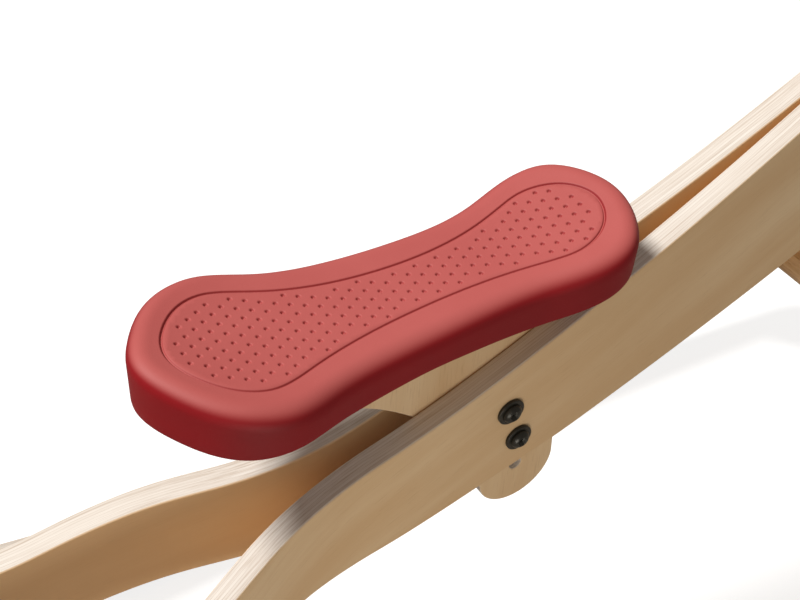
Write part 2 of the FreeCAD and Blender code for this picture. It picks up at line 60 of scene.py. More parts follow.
def smoothCurve(points, spacing, closed=False):
    # natural cubic spline through the points by chord length; closed = the end runs on into the start
    knots = np.asarray(points, float)
    if closed:
        knots = np.vstack([knots, knots[:1]])
    gaps = np.linalg.norm(np.diff(knots, axis=0), axis=1)
    reach = np.concatenate([[0], np.cumsum(gaps)])
    last = len(knots) - 1
    inner = np.arange(1, last)
    slope = np.diff(knots, axis=0) / gaps[:, None]
    system, wanted = np.zeros((last + 1, last + 1)), np.zeros(knots.shape)
    system[inner, inner - 1], system[inner, inner + 1] = gaps[:-1], gaps[1:]
    system[inner, inner] = 2 * (gaps[:-1] + gaps[1:])
    wanted[inner] = 6 * np.diff(slope, axis=0)
    if closed:
        system[0, 0], system[0, 1], system[0, last - 1] = 2 * (gaps[0] + gaps[-1]), gaps[0], gaps[-1]
        system[last, 0], system[last, last] = 1, -1
        wanted[0] = 6 * (slope[0] - slope[-1])
    else:
        system[0, 0] = system[last, last] = 1
    bend = np.linalg.solve(system, wanted)
    count = max(2, round(reach[-1] / spacing) + 1)
    along = np.linspace(0, reach[-1], count, endpoint=not closed)
    k = np.clip(np.searchsorted(reach, along, side="right") - 1, 0, last - 1)
    gap = gaps[k][:, None]
    b = (along - reach[k])[:, None] / gap
    a = 1 - b
    return a * knots[k] + b * knots[k + 1] + gap**2 / 6 * ((a**3 - a) * bend[k] + (b**3 - b) * bend[k + 1])


def straight(start, end, spacing):
    # evenly spaced points from start to end
    start, end = np.array(start, float), np.array(end, float)
    count = max(2, round(np.linalg.norm(end - start) / spacing) + 1)
    return start + (end - start) * np.linspace(0, 1, count)[:, None]


def arcAround(centre, radius, startAngle, endAngle, spacing):
    # centre + radius (cos, sin) from one angle to the other
    count = max(3, round(abs(endAngle - startAngle) * radius / spacing) + 1)
    turn = np.linspace(startAngle, endAngle, count)
    return np.array(centre, float) + radius * np.stack([np.cos(turn), np.sin(turn)], 1)


def arcThrough(start, middle, end, spacing):
    # the circle through three points: its centre is as far from all three
    a, b, c = (np.array(p, float) for p in (start, middle, end))
    centre = np.linalg.solve(2 * np.array([b - a, c - a]), [b @ b - a @ a, c @ c - a @ a])
    turns = np.unwrap([math.atan2(*(p - centre)[::-1]) for p in (a, b, c)])
    return arcAround(centre, np.linalg.norm(a - centre), turns[0], turns[2], spacing)


def softCorners(loop, passes=10, reach=3):
    # points near a sharp corner settle towards the middle of their neighbours, which rounds it off
    ahead, behind = np.roll(loop, -1, 0) - loop, loop - np.roll(loop, 1, 0)
    cross = behind[:, 0] * ahead[:, 1] - behind[:, 1] * ahead[:, 0]
    sharp = np.abs(cross) > 0.4 * np.linalg.norm(ahead, axis=1) * np.linalg.norm(behind, axis=1)
    near = np.any([np.roll(sharp, k) for k in range(-reach, reach + 1)], axis=0)[:, None]
    for _ in range(passes):
        loop = np.where(near, 0.5 * loop + 0.25 * (np.roll(loop, 1, 0) + np.roll(loop, -1, 0)), loop)
    return loop


def joined(curves):
    # one closed loop from curves that meet end to start, turning counter-clockwise
    loop = softCorners(np.vstack([curve[:-1] for curve in curves]))
    after = np.roll(loop, -1, 0)
    area = (loop[:, 0] * after[:, 1] - after[:, 0] * loop[:, 1]).sum()
    return loop if area > 0 else loop[::-1]


def stadium(start, end, radius, spacing):
    # two half circles and the two straights that touch both
    start, end = np.array(start, float), np.array(end, float)
    heading = math.atan2(*(end - start)[::-1])
    nose = arcAround(end, radius, heading - math.pi / 2, heading + math.pi / 2, spacing)
    tail = arcAround(start, radius, heading + math.pi / 2, heading + 3 * math.pi / 2, spacing)
    return joined([nose, straight(nose[-1], tail[0], spacing), tail, straight(tail[-1], nose[0], spacing)])


def ring(centre, radius, spacing=0.8):
    return arcAround(centre, radius, 0, 2 * math.pi, spacing)[:-1]


def evenly(loop, count):
    # count points spread evenly along a closed loop, from its first point
    closed = np.vstack([loop, loop[:1]])
    reach = np.concatenate([[0], np.cumsum(np.linalg.norm(np.diff(closed, axis=0), axis=1))])
    along = np.linspace(0, reach[-1], count, endpoint=False)
    return np.stack([np.interp(along, reach, closed[:, axis]) for axis in (0, 1)], 1)


def inset(loop, depth):
    # each point moves by depth along the left normal: inwards on a counter-clockwise loop
    tangent = np.roll(loop, -1, 0) - np.roll(loop, 1, 0)
    normal = np.stack([-tangent[:, 1], tangent[:, 0]], 1)
    return loop + normal / np.linalg.norm(normal, axis=1, keepdims=True) * depth


def insideLoops(points, loops):
    # even-odd rule: a level ray from an inside point crosses the loops an odd number of times
    crossings = np.zeros(len(points), int)
    x, y = points[:, :1], points[:, 1:]
    for loop in loops:
        start, end = loop, np.roll(loop, -1, 0)
        spans = (start[:, 1] > y) != (end[:, 1] > y)
        rise = np.where(end[:, 1] == start[:, 1], 1, end[:, 1] - start[:, 1])
        crossings += (spans & (x < start[:, 0] + (y - start[:, 1]) * (end[:, 0] - start[:, 0]) / rise)).sum(1)
    return crossings % 2 == 1


def nearest(points, others):
    # distance from each point to the nearest of the others
    gaps = points[:, None, :] - others[None, :, :]
    return np.sqrt((gaps**2).sum(2).min(1))


def fillLoops(loops, extra):
    # Delaunay triangles over the loops' points and the extra ones, kept where their middles lie inside the loops
    points = np.vstack(loops + [extra])
    edges, start = [], 0
    for loop in loops:
        k = np.arange(len(loop))
        edges.append(start + np.stack([k, (k + 1) % len(loop)], 1))
        start += len(loop)
    made = geometry.delaunay_2d_cdt(points.tolist(), np.vstack(edges).tolist(), [], 0, 1e-6)
    source = np.array([origin[0] for origin in made[3]])
    triangles = source[np.array(made[2])]
    return points, triangles[insideLoops(points[triangles].mean(1), loops)]


# ---- meshes


def tube(rings, around):
    # quads between neighbouring rings of equal length, each ring closed on itself
    r, a = np.meshgrid(np.arange(rings - 1), np.arange(around), indexing="ij")
    b = (a + 1) % around
    return np.stack([r * around + a, r * around + b, (r + 1) * around + b, (r + 1) * around + a], -1).reshape(-1, 4)


def stacked(parts):
    # several (points, triangles, quads) as one
    starts = np.cumsum([0] + [len(points) for points, _, _ in parts[:-1]])
    points = np.vstack([part[0] for part in parts])
    triangles = np.vstack([part[1] + start for part, start in zip(parts, starts)])
    quads = np.vstack([part[2] + start for part, start in zip(parts, starts)])
    return points, triangles, quads


def outward(shape):
    # turns every face round if the volume, the sum of point . (edge x edge) over the faces, comes out negative
    points, triangles, quads = shape
    fans = np.vstack([triangles, quads[:, :3], quads[:, [0, 2, 3]]])
    a, b, c = points[fans[:, 0]], points[fans[:, 1]], points[fans[:, 2]]
    if (a * np.cross(b, c)).sum() < 0:
        return points, triangles[:, ::-1], quads[:, ::-1]
    return shape


def newPiece(name, shape, material, body, nodes, grain=None):
    # a mesh object at the origin with its place in its mesh; grain is (along, across the sheet, over its face)
    points, triangles, quads = outward(shape)
    mesh = bpy.data.meshes.new(name)
    corners = np.concatenate([quads.ravel(), triangles.ravel()]).astype(np.int32)
    starts = np.concatenate([np.arange(len(quads)) * 4, len(quads) * 4 + np.arange(len(triangles)) * 3])
    mesh.vertices.add(len(points))
    mesh.vertices.foreach_set("co", (points * mm).astype(np.float32).ravel())
    mesh.loops.add(len(corners))
    mesh.loops.foreach_set("vertex_index", corners)
    mesh.polygons.add(len(starts))
    mesh.polygons.foreach_set("loop_start", starts.astype(np.int32))
    mesh.update(calc_edges=True)
    mesh.validate()
    mesh.shade_smooth()
    if grain is not None:
        layer = mesh.attributes.new("grain", "FLOAT_VECTOR", "POINT")
        layer.data.foreach_set("vector", (grain * mm).astype(np.float32).ravel())
    mesh.materials.append(material)
    piece = bpy.data.objects.new(name, mesh)
    bpy.context.scene.collection.objects.link(piece)
    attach(piece, body)
    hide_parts(*nodes)
    return piece


def sheetShape(loops, half, edge, spacing=None, steps=5):
    # a sheet cut to the loops: two flat faces at +-half and a rim rounded by the edge radius.
    # rim: inset = edge (1 - sin t), height = half - edge (1 - cos t), t from 0 to 90 degrees, and the same below
    turn = np.linspace(0, math.pi / 2, steps)
    hold = 0.5
    depths = np.concatenate([[edge + hold], edge * (1 - np.sin(turn))])
    heights = np.concatenate([[half], half - edge * (1 - np.cos(turn))])
    depths, heights = np.concatenate([depths, depths[::-1]]), np.concatenate([heights, -heights[::-1]])
    capLoops = [inset(loop, depths[0]) for loop in loops]
    extra = np.zeros((0, 2))
    if spacing:
        low, high = capLoops[0].min(0), capLoops[0].max(0)
        x, y = np.meshgrid(np.arange(low[0], high[0], spacing), np.arange(low[1], high[1], spacing))
        extra = np.stack([x.ravel(), y.ravel()], 1)
        extra = extra[insideLoops(extra, capLoops)]
        extra = extra[nearest(extra, np.vstack(capLoops)) > 0.5 * spacing]
    flat, triangles = fillLoops(capLoops, extra)
    rimCount = sum(len(loop) for loop in loops)
    none = np.zeros((0, 3), int)
    parts = [
        (np.column_stack([flat, np.full(len(flat), half)]), triangles, np.zeros((0, 4), int)),
        (np.column_stack([flat, np.full(len(flat), -half)]), triangles[:, ::-1], np.zeros((0, 4), int)),
    ]
    points, triangles, quads = stacked(parts)
    start, count = 0, len(points)
    rims, walls = [points], [quads]
    for loop in loops:
        around, rings = len(loop), len(depths)
        k = np.arange(around)
        inner = np.vstack([
            np.column_stack([inset(loop, depth), np.full(around, height)])
            for depth, height in zip(depths[1:-1], heights[1:-1])
        ])
        rows = np.vstack([start + k, count + np.arange((rings - 2) * around).reshape(-1, around), len(flat) + start + k])
        after = np.roll(rows, -1, 1)
        walls.append(np.stack([rows[1:], after[1:], after[:-1], rows[:-1]], -1).reshape(-1, 4))
        rims.append(inner)
        start, count = start + around, count + len(inner)
    return np.vstack(rims), np.vstack([triangles, none]), np.vstack(walls)


def turnedShape(profile, around=48, hexRings=()):
    # a profile of (radius, height) turned about the axis; its first and last radius are 0 and close the poles.
    # a hex ring has radius r cos 30 / cos(angle from the nearest flat's middle)
    profile = np.array(profile, float)
    turn = np.arange(around) * 2 * math.pi / around
    radius = np.repeat(profile[1:-1, :1], around, 1)
    flats = math.cos(math.pi / 6) / np.cos(np.mod(turn, math.pi / 3) - math.pi / 6)
    for k in hexRings:
        radius[k - 1] *= flats
    height = np.repeat(profile[1:-1, 1:], around, 1)
    x, y = radius * np.cos(turn), radius * np.sin(turn)
    points = np.stack([x, y, height], -1).reshape(-1, 3)
    poles = np.array([[0, 0, profile[0, 1]], [0, 0, profile[-1, 1]]])
    rings, k = len(profile) - 2, np.arange(around)
    after, top, low = (k + 1) % around, len(points), (rings - 1) * around
    triangles = np.vstack([
        np.stack([np.full(around, top), after, k], 1),
        np.stack([np.full(around, top + 1), low + k, low + after], 1),
    ])
    return np.vstack([points, poles]), triangles, tube(rings, around)[:, ::-1]


def alongY(shape, place, start, side):
    # lays a turned shape's axis along side times Y, from start, at place in the XZ plane
    points, triangles, quads = shape
    moved = np.stack([place[0] + points[:, 0], start + side * points[:, 2], place[1] + points[:, 1]], 1)
    if side > 0:
        return moved, triangles, quads
    return moved, triangles[:, ::-1], quads[:, ::-1]


# ---- materials


def addNode(tree, kind, inputs=None, **settings):
    # a shader node with its inputs set to values or linked from sockets
    made = tree.nodes.new("ShaderNode" + kind)
    for word, value in settings.items():
        setattr(made, word, value)
    for word, value in (inputs or {}).items():
        if isinstance(value, bpy.types.NodeSocket):
            tree.links.new(value, made.inputs[word])
        else:
            made.inputs[word].default_value = value
    return made


def newMaterial(name, **values):
    material = bpy.data.materials.new(name)
    material.use_nodes = True
    tree = material.node_tree
    shader = tree.nodes["Principled BSDF"]
    for word, value in values.items():
        shader.inputs[word.replace("_", " ")].default_value = value
    return material, tree, shader


def linear(red, green, blue):
    # screen colour, 0 to 255, to the light it stands for
    screen = np.array([red, green, blue]) / 255
    return (*np.where(screen <= 0.04045, screen / 12.92, ((screen + 0.055) / 1.055) ** 2.4), 1.0)


def noise(tree, place, scale, detail=4.0, roughness=0.5, stretch=(1, 1, 1)):
    # noise of that many cells a metre, its cells drawn out where stretch is below 1
    mapped = addNode(tree, "Mapping", {"Vector": place, "Scale": stretch})
    return addNode(tree, "TexNoise", {
        "Vector": mapped.outputs[0], "Scale": scale, "Detail": detail, "Roughness": roughness,
    }).outputs["Fac"]


def calc(tree, operation, a, b=0.0, c=0.0):
    return addNode(tree, "Math", {0: a, 1: b, 2: c}, operation=operation).outputs[0]


def between(tree, value, low, high, start=0.0, end=1.0):
    # smooth step of value from low to high, given out as start to end
    return addNode(tree, "MapRange", {
        "Value": value, "From Min": low, "From Max": high, "To Min": start, "To Max": end,
    }, interpolation_type="SMOOTHSTEP").outputs[0]


def blendColour(tree, share, first, second, mode="MIX"):
    made = addNode(tree, "Mix", data_type="RGBA", blend_type=mode)
    sockets = {"Factor": made.inputs[0], "A": made.inputs[6], "B": made.inputs[7]}
    for word, value in (("Factor", share), ("A", first), ("B", second)):
        if isinstance(value, bpy.types.NodeSocket):
            tree.links.new(value, sockets[word])
        else:
            sockets[word].default_value = value
    return made.outputs[2]


def bump(tree, height, distance, shader, strength=1.0):
    made = addNode(tree, "Bump", {"Height": height, "Distance": distance, "Strength": strength})
    tree.links.new(made.outputs[0], shader.inputs["Normal"])


def objectPlace(tree):
    return addNode(tree, "TexCoord").outputs["Object"]


foamLook = {
    # the third colour here is the pale pink of the painted sheen, a painted highlight on the upward-facing skin
    "red": linear(144, 0, 14), "deep": linear(134, 0, 12), "paintedSheen": linear(184, 90, 86), "roughness": 0.6,
    "skin": 0.00006,      # height of the moulded skin's fine grain, m
    "skinGrain": 1500.0, "cloud": 16.0,
}


def saddleFoam():
    # moulded polyurethane skin: fine grain, faint clouds, and a painted sheen: its colour is painted pale where it
    # faces up, a painted highlight standing in for the overhead light's reflection
    material, tree, shader = newMaterial("saddleFoam", Specular_IOR_Level=0.35)
    place = objectPlace(tree)
    cloud = noise(tree, place, foamLook["cloud"], 5.0, 0.6)
    fine = noise(tree, place, foamLook["skinGrain"], 2.0, 0.6)
    tone = blendColour(tree, between(tree, cloud, 0.3, 0.7), foamLook["deep"], foamLook["red"])
    speck = blendColour(tree, between(tree, fine, 0.35, 0.75, 0.0, 0.22), tone, foamLook["deep"])
    facing = addNode(tree, "SeparateXYZ", {0: addNode(tree, "NewGeometry").outputs["Normal"]}).outputs["Z"]
    # painted highlight: the colour is blended towards pale pink where the surface normal points up
    paintedSheen = calc(tree, "MULTIPLY", between(tree, facing, 0.45, 0.98), between(tree, cloud, 0.2, 0.8, 0.85, 1.0))
    withPaintedSheen = blendColour(tree, paintedSheen, speck, foamLook["paintedSheen"])
    tree.links.new(withPaintedSheen, shader.inputs["Base Color"])
    rough = calc(tree, "MULTIPLY_ADD", cloud, 0.10, foamLook["roughness"] - 0.05)
    tree.links.new(rough, shader.inputs["Roughness"])
    bump(tree, fine, foamLook["skin"], shader)
    return material


birchLook = {
    "pale": linear(236, 208, 168), "warm": linear(222, 186, 140), "pore": linear(176, 132, 88),
    "edgePale": linear(222, 213, 203), "edgeDark": linear(174, 152, 130), "glue": linear(140, 112, 84),
    # inner is the warm colour of the painted bounce light on the faces that look towards the other sheet
    "inner": linear(238, 198, 150),
    "layer": 0.00142,     # one veneer, m
    "roughness": 0.42,
}


def birchPly(name, place=None):
    # veneered birch ply: drawn-out grain on the faces, layers and glue lines on the cut edges.
    # the place is (along the grain, across the sheet, over the face), from the piece's own grain attribute
    material, tree, shader = newMaterial(name, Specular_IOR_Level=0.42)
    if place is None:
        source = addNode(tree, "Attribute", attribute_name="grain").outputs["Vector"]
    else:
        source = objectPlace(tree)
    apart = addNode(tree, "SeparateXYZ", {0: source})
    across = apart.outputs[1]
    # face grain
    broad = noise(tree, source, 26.0, 4.0, 0.55, (0.16, 1, 1))
    streak = noise(tree, source, 420.0, 3.0, 0.6, (0.035, 1, 1))
    pores = noise(tree, source, 1500.0, 2.0, 0.5, (0.05, 1, 1))
    face = blendColour(tree, between(tree, broad, 0.32, 0.68), birchLook["warm"], birchLook["pale"])
    face = blendColour(tree, between(tree, streak, 0.45, 0.8, 0.0, 0.35), face, birchLook["warm"])
    face = blendColour(tree, between(tree, pores, 0.56, 0.74, 0.0, 0.20), face, birchLook["pore"])
    # painted warm bounce light: faces that look towards the other sheet are painted warmer than the faces that look
    # outwards
    facing = addNode(tree, "SeparateXYZ", {0: addNode(tree, "NewGeometry").outputs["Normal"]}).outputs["Y"]
    leftward = calc(tree, "SIGN", addNode(tree, "SeparateXYZ", {0: objectPlace(tree)}).outputs["Y"])
    inward = between(tree, calc(tree, "MULTIPLY", calc(tree, "MULTIPLY", facing, leftward), -1.0), 0.2, 0.7, 0.0, 0.55)
    face = blendColour(tree, inward, face, birchLook["inner"])
    # cut edge: alternate veneers, each with its own tone, and dark glue lines between them
    count = calc(tree, "ADD", calc(tree, "DIVIDE", across, birchLook["layer"]), 0.5)
    number = calc(tree, "FLOOR", count)
    part = calc(tree, "FRACT", count)
    tone = addNode(tree, "TexWhiteNoise", {"W": number}, noise_dimensions="1D").outputs["Value"]
    odd = calc(tree, "PINGPONG", number, 1.0)
    fibres = noise(tree, source, 900.0, 3.0, 0.65, (0.02, 1.3, 0.3))
    dark = calc(tree, "MULTIPLY_ADD", odd, 0.16, calc(tree, "MULTIPLY", tone, 0.12))
    dark = calc(tree, "ADD", dark, between(tree, fibres, 0.42, 0.72, -0.05, 0.42))
    edge = blendColour(tree, dark, birchLook["edgePale"], birchLook["edgeDark"])
    border = calc(tree, "SUBTRACT", 0.5, calc(tree, "ABSOLUTE", calc(tree, "SUBTRACT", part, 0.5)))
    glue = between(tree, border, 0.02, 0.09, 0.34, 0.0)
    edge = blendColour(tree, glue, edge, birchLook["glue"])
    # the faces' outer veneer is told from the cut edge by the rim attribute
    rim = addNode(tree, "Attribute", attribute_name="rim").outputs["Fac"]
    colour = blendColour(tree, rim, face, edge)
    tree.links.new(colour, shader.inputs["Base Color"])
    rough = calc(tree, "MULTIPLY_ADD", broad, 0.16, birchLook["roughness"] - 0.04)
    tree.links.new(calc(tree, "MULTIPLY_ADD", rim, 0.14, rough), shader.inputs["Roughness"])
    relief = calc(tree, "MULTIPLY_ADD", pores, -0.5, calc(tree, "MULTIPLY", streak, 0.5))
    bump(tree, relief, 0.00008, shader)
    return material


beechLook = {"pale": linear(232, 196, 150), "warm": linear(206, 160, 108), "fleck": linear(150, 100, 58)}


def beechWood():
    # turned beech, its grain along Y: drawn-out growth bands and short dark flecks
    material, tree, shader = newMaterial("beechWood", Specular_IOR_Level=0.45)
    place = objectPlace(tree)
    bands = noise(tree, place, 160.0, 3.0, 0.55, (1, 0.05, 1))
    flecks = noise(tree, place, 1100.0, 1.0, 0.5, (1, 0.12, 1))
    tone = blendColour(tree, between(tree, bands, 0.35, 0.68), beechLook["warm"], beechLook["pale"])
    tone = blendColour(tree, between(tree, flecks, 0.60, 0.72, 0.0, 0.5), tone, beechLook["fleck"])
    tree.links.new(tone, shader.inputs["Base Color"])
    tree.links.new(calc(tree, "MULTIPLY_ADD", bands, 0.15, 0.34), shader.inputs["Roughness"])
    bump(tree, flecks, 0.00006, shader)
    return material


steelLook = {"paint": linear(44, 42, 36), "worn": linear(74, 71, 62)}


def blackSteel():
    # black-finished steel: orange-peel grain, slightly worn and duller in patches
    material, tree, shader = newMaterial("blackSteel", Metallic=0.35, Specular_IOR_Level=0.5)
    place = objectPlace(tree)
    patch = noise(tree, place, 240.0, 4.0, 0.6)
    grain = noise(tree, place, 2600.0, 2.0, 0.5)
    tone = blendColour(tree, between(tree, patch, 0.45, 0.75, 0.0, 0.6), steelLook["paint"], steelLook["worn"])
    tree.links.new(tone, shader.inputs["Base Color"])
    tree.links.new(calc(tree, "MULTIPLY_ADD", patch, 0.25, 0.25), shader.inputs["Roughness"])
    bump(tree, grain, 0.00003, shader)
    return material


def zincSteel():
    # zinc-plated screws: bright spangle in patches
    material, tree, shader = newMaterial("zincSteel", Metallic=1.0)
    place = objectPlace(tree)
    patch = noise(tree, place, 900.0, 3.0, 0.6)
    tone = blendColour(tree, between(tree, patch, 0.3, 0.7), linear(168, 170, 172), linear(205, 206, 204))
    tree.links.new(tone, shader.inputs["Base Color"])
    tree.links.new(calc(tree, "MULTIPLY_ADD", patch, 0.3, 0.2), shader.inputs["Roughness"])
    return material


def darkRubber(name, tone, cells, height):
    # matt moulded rubber or foam rubber with a pitted skin of that many cells a metre
    material, tree, shader = newMaterial(name, Specular_IOR_Level=0.35, Sheen_Weight=0.1)
    place = objectPlace(tree)
    pits = noise(tree, place, cells, 3.0, 0.65)
    cloud = noise(tree, place, 45.0, 3.0, 0.5)
    pale = tuple(min(1.0, 1.7 * part + 0.004) for part in tone[:3]) + (1.0,)
    shade = blendColour(tree, between(tree, pits, 0.35, 0.7), tone, pale)
    tree.links.new(blendColour(tree, between(tree, cloud, 0.4, 0.7, 0.0, 0.3), shade, pale), shader.inputs["Base Color"])
    tree.links.new(calc(tree, "MULTIPLY_ADD", pits, 0.2, 0.6), shader.inputs["Roughness"])
    bump(tree, pits, height, shader)
    return material


feltLook = {"red": linear(170, 26, 36), "deep": linear(118, 14, 24), "fluff": linear(206, 74, 78)}


def redFelt():
    # pressed wool: tangled fibres in colour and relief, under a fuzzy sheen
    material, tree, shader = newMaterial(
        "redFelt", Roughness=0.95, Sheen_Weight=0.8, Sheen_Roughness=0.4, Sheen_Tint=linear(255, 180, 176),
        Specular_IOR_Level=0.15,
    )
    place = objectPlace(tree)
    mat = noise(tree, place, 700.0, 6.0, 0.7)
    hairs = addNode(tree, "TexNoise", {"Vector": place, "Scale": 950.0, "Detail": 3.0, "Distortion": 2.2}).outputs["Fac"]
    cloud = noise(tree, place, 60.0, 3.0, 0.5)
    tone = blendColour(tree, between(tree, mat, 0.35, 0.65), feltLook["deep"], feltLook["red"])
    tone = blendColour(tree, between(tree, hairs, 0.56, 0.7, 0.0, 0.5), tone, feltLook["fluff"])
    tone = blendColour(tree, between(tree, cloud, 0.4, 0.7, 0.0, 0.25), tone, feltLook["deep"])
    tree.links.new(tone, shader.inputs["Base Color"])
    bump(tree, calc(tree, "ADD", mat, hairs), 0.00035, shader)
    return material


def eyeGloss():
    # glossy moulded eye, faintly clouded in its depth
    material, tree, shader = newMaterial(
        "eyeGloss", Roughness=0.08, Coat_Weight=0.6, Coat_Roughness=0.04, Specular_IOR_Level=0.6
    )
    cloud = noise(tree, objectPlace(tree), 220.0, 3.0, 0.5)
    tone = blendColour(tree, between(tree, cloud, 0.35, 0.7), linear(12, 11, 12), linear(34, 28, 26))
    tree.links.new(tone, shader.inputs["Base Color"])
    return material


birch = birchPly("birchPly")
boardPly = birchPly("boardPly", place="object")
beech, steel, felt = beechWood(), blackSteel(), redFelt()
gripRubber = darkRubber("gripFoam", linear(34, 33, 34), 1900.0, 0.00018)
capRubber = darkRubber("capRubber", linear(28, 28, 29), 1400.0, 0.00008)
floorRubber = darkRubber("floorRubber", linear(46, 44, 42), 1100.0, 0.00012)
print("materials made:", len(bpy.data.materials))

# ---- saddle

saddle = {
    "boardAhead": 12.0,   # the board's middle is this far ahead of the saddle's middle
    "boardDrop": 8.0,     # and its top this far under the saddle's top
    "bend": 7.65e-4, "curl": 3.63e-8, "cup": 1.22e-3,   # top = bend x^2 + curl x^4 + cup y^2
    "edgeRound": 9.0, "rimRound": 1.2, "draft": 0.3,
    "grooveHalf": 0.85, "grooveDeep": 0.9,
    "dimplePitch": 6.0, "dimpleRadius": 1.2, "dimpleDeep": 1.15, "dimpleMargin": 3.15,
    "recessMargin": 4.0,
    "around": 640,
}
halfOutline = [
    (116.8, 0.0), (112.3, 19.2), (99.8, 34.0), (85.5, 37.2), (58.0, 32.4), (20.0, 31.1),
    (-14.0, 33.6), (-42.0, 39.0), (-66.0, 45.5), (-88.0, 38.8), (-105.0, 19.6), (-112.0, 0.0),
]
halfGroove = [
    (103.8, 0.0), (102.2, 7.6), (97.2, 15.2), (90.0, 19.9), (79.0, 21.9), (70.0, 20.3), (54.0, 16.5),
    (24.0, 13.5), (0.0, 14.4), (-24.0, 17.7), (-48.0, 24.3), (-60.0, 28.5), (-69.0, 29.9),
    (-79.0, 27.2), (-90.0, 18.0), (-97.8, 0.0),
]
underLine = [
    (-125.0, -10.5), (-104.0, -14.0), (-84.0, -15.5), (-57.0, -14.0), (-38.0, -16.8),
    (0.0, -17.6), (55.0, -17.9), (79.0, -14.0), (100.0, -9.0), (125.0, 1.0),
]
boardLow, boardHigh = boxOf("saddle_board")
seat = np.array([
    (boardLow[0] + boardHigh[0]) / 2 - saddle["boardAhead"], 0.0, boardHigh[2] + saddle["boardDrop"],
])


def mirroredLoop(half, count):
    # a loop alike on both sides of the X axis, from the front tip counter-clockwise
    whole = half + [(x, -y) for x, y in half[-2:0:-1]]
    return evenly(smoothCurve(whole, 0.25, closed=True), count)


def saddleTop(plan):
    return saddle["bend"] * plan[..., 0] ** 2 + saddle["curl"] * plan[..., 0] ** 4 + saddle["cup"] * plan[..., 1] ** 2


def dimplePlaces(groove):
    # a triangular lattice of that pitch, kept where it is clear of the groove
    rise = saddle["dimplePitch"] * math.cos(math.pi / 6)
    row, step = np.meshgrid(np.arange(-24, 24), np.arange(-8, 9), indexing="ij")
    x = (row + 0.5) * rise
    y = (step + 0.5 * (row % 2)) * saddle["dimplePitch"]
    places = np.stack([x.ravel(), y.ravel()], 1)
    places = places[insideLoops(places, [groove])]
    return places[nearest(places, groove) > saddle["dimpleMargin"]]


def dimpledField(border, dimples):
    # the part inside the groove: rings of points round each dimple and an even grid between them.
    # depth = deep (1 - (r / radius)^2)^2 within a dimple's radius
    radius = saddle["dimpleRadius"]
    turn = np.arange(12) * math.pi / 6
    spokes = np.vstack([
        share * radius * np.stack([np.cos(turn + lag), np.sin(turn + lag)], 1)
        for share, lag in ((0.36, 0.0), (0.68, 0.26), (1.0, 0.0), (1.35, 0.26))
    ])
    rings = (dimples[:, None, :] + np.vstack([[[0.0, 0.0]], spokes])[None]).reshape(-1, 2)
    x, y = np.meshgrid(np.arange(-104, 108, 1.9), np.arange(-32, 32, 1.7))
    x = x + 0.95 * (np.arange(len(x)) % 2)[:, None]
    even = np.stack([x.ravel(), y.ravel()], 1)
    even = even[insideLoops(even, [border])]
    even = even[(nearest(even, dimples) > 1.9 * radius) & (nearest(even, border) > 1.0)]
    points, triangles = fillLoops([border], np.vstack([rings, even]))
    away = np.minimum(nearest(points, dimples) / radius, 1)
    return points, triangles, saddleTop(points) - saddle["dimpleDeep"] * (1 - away**2) ** 2


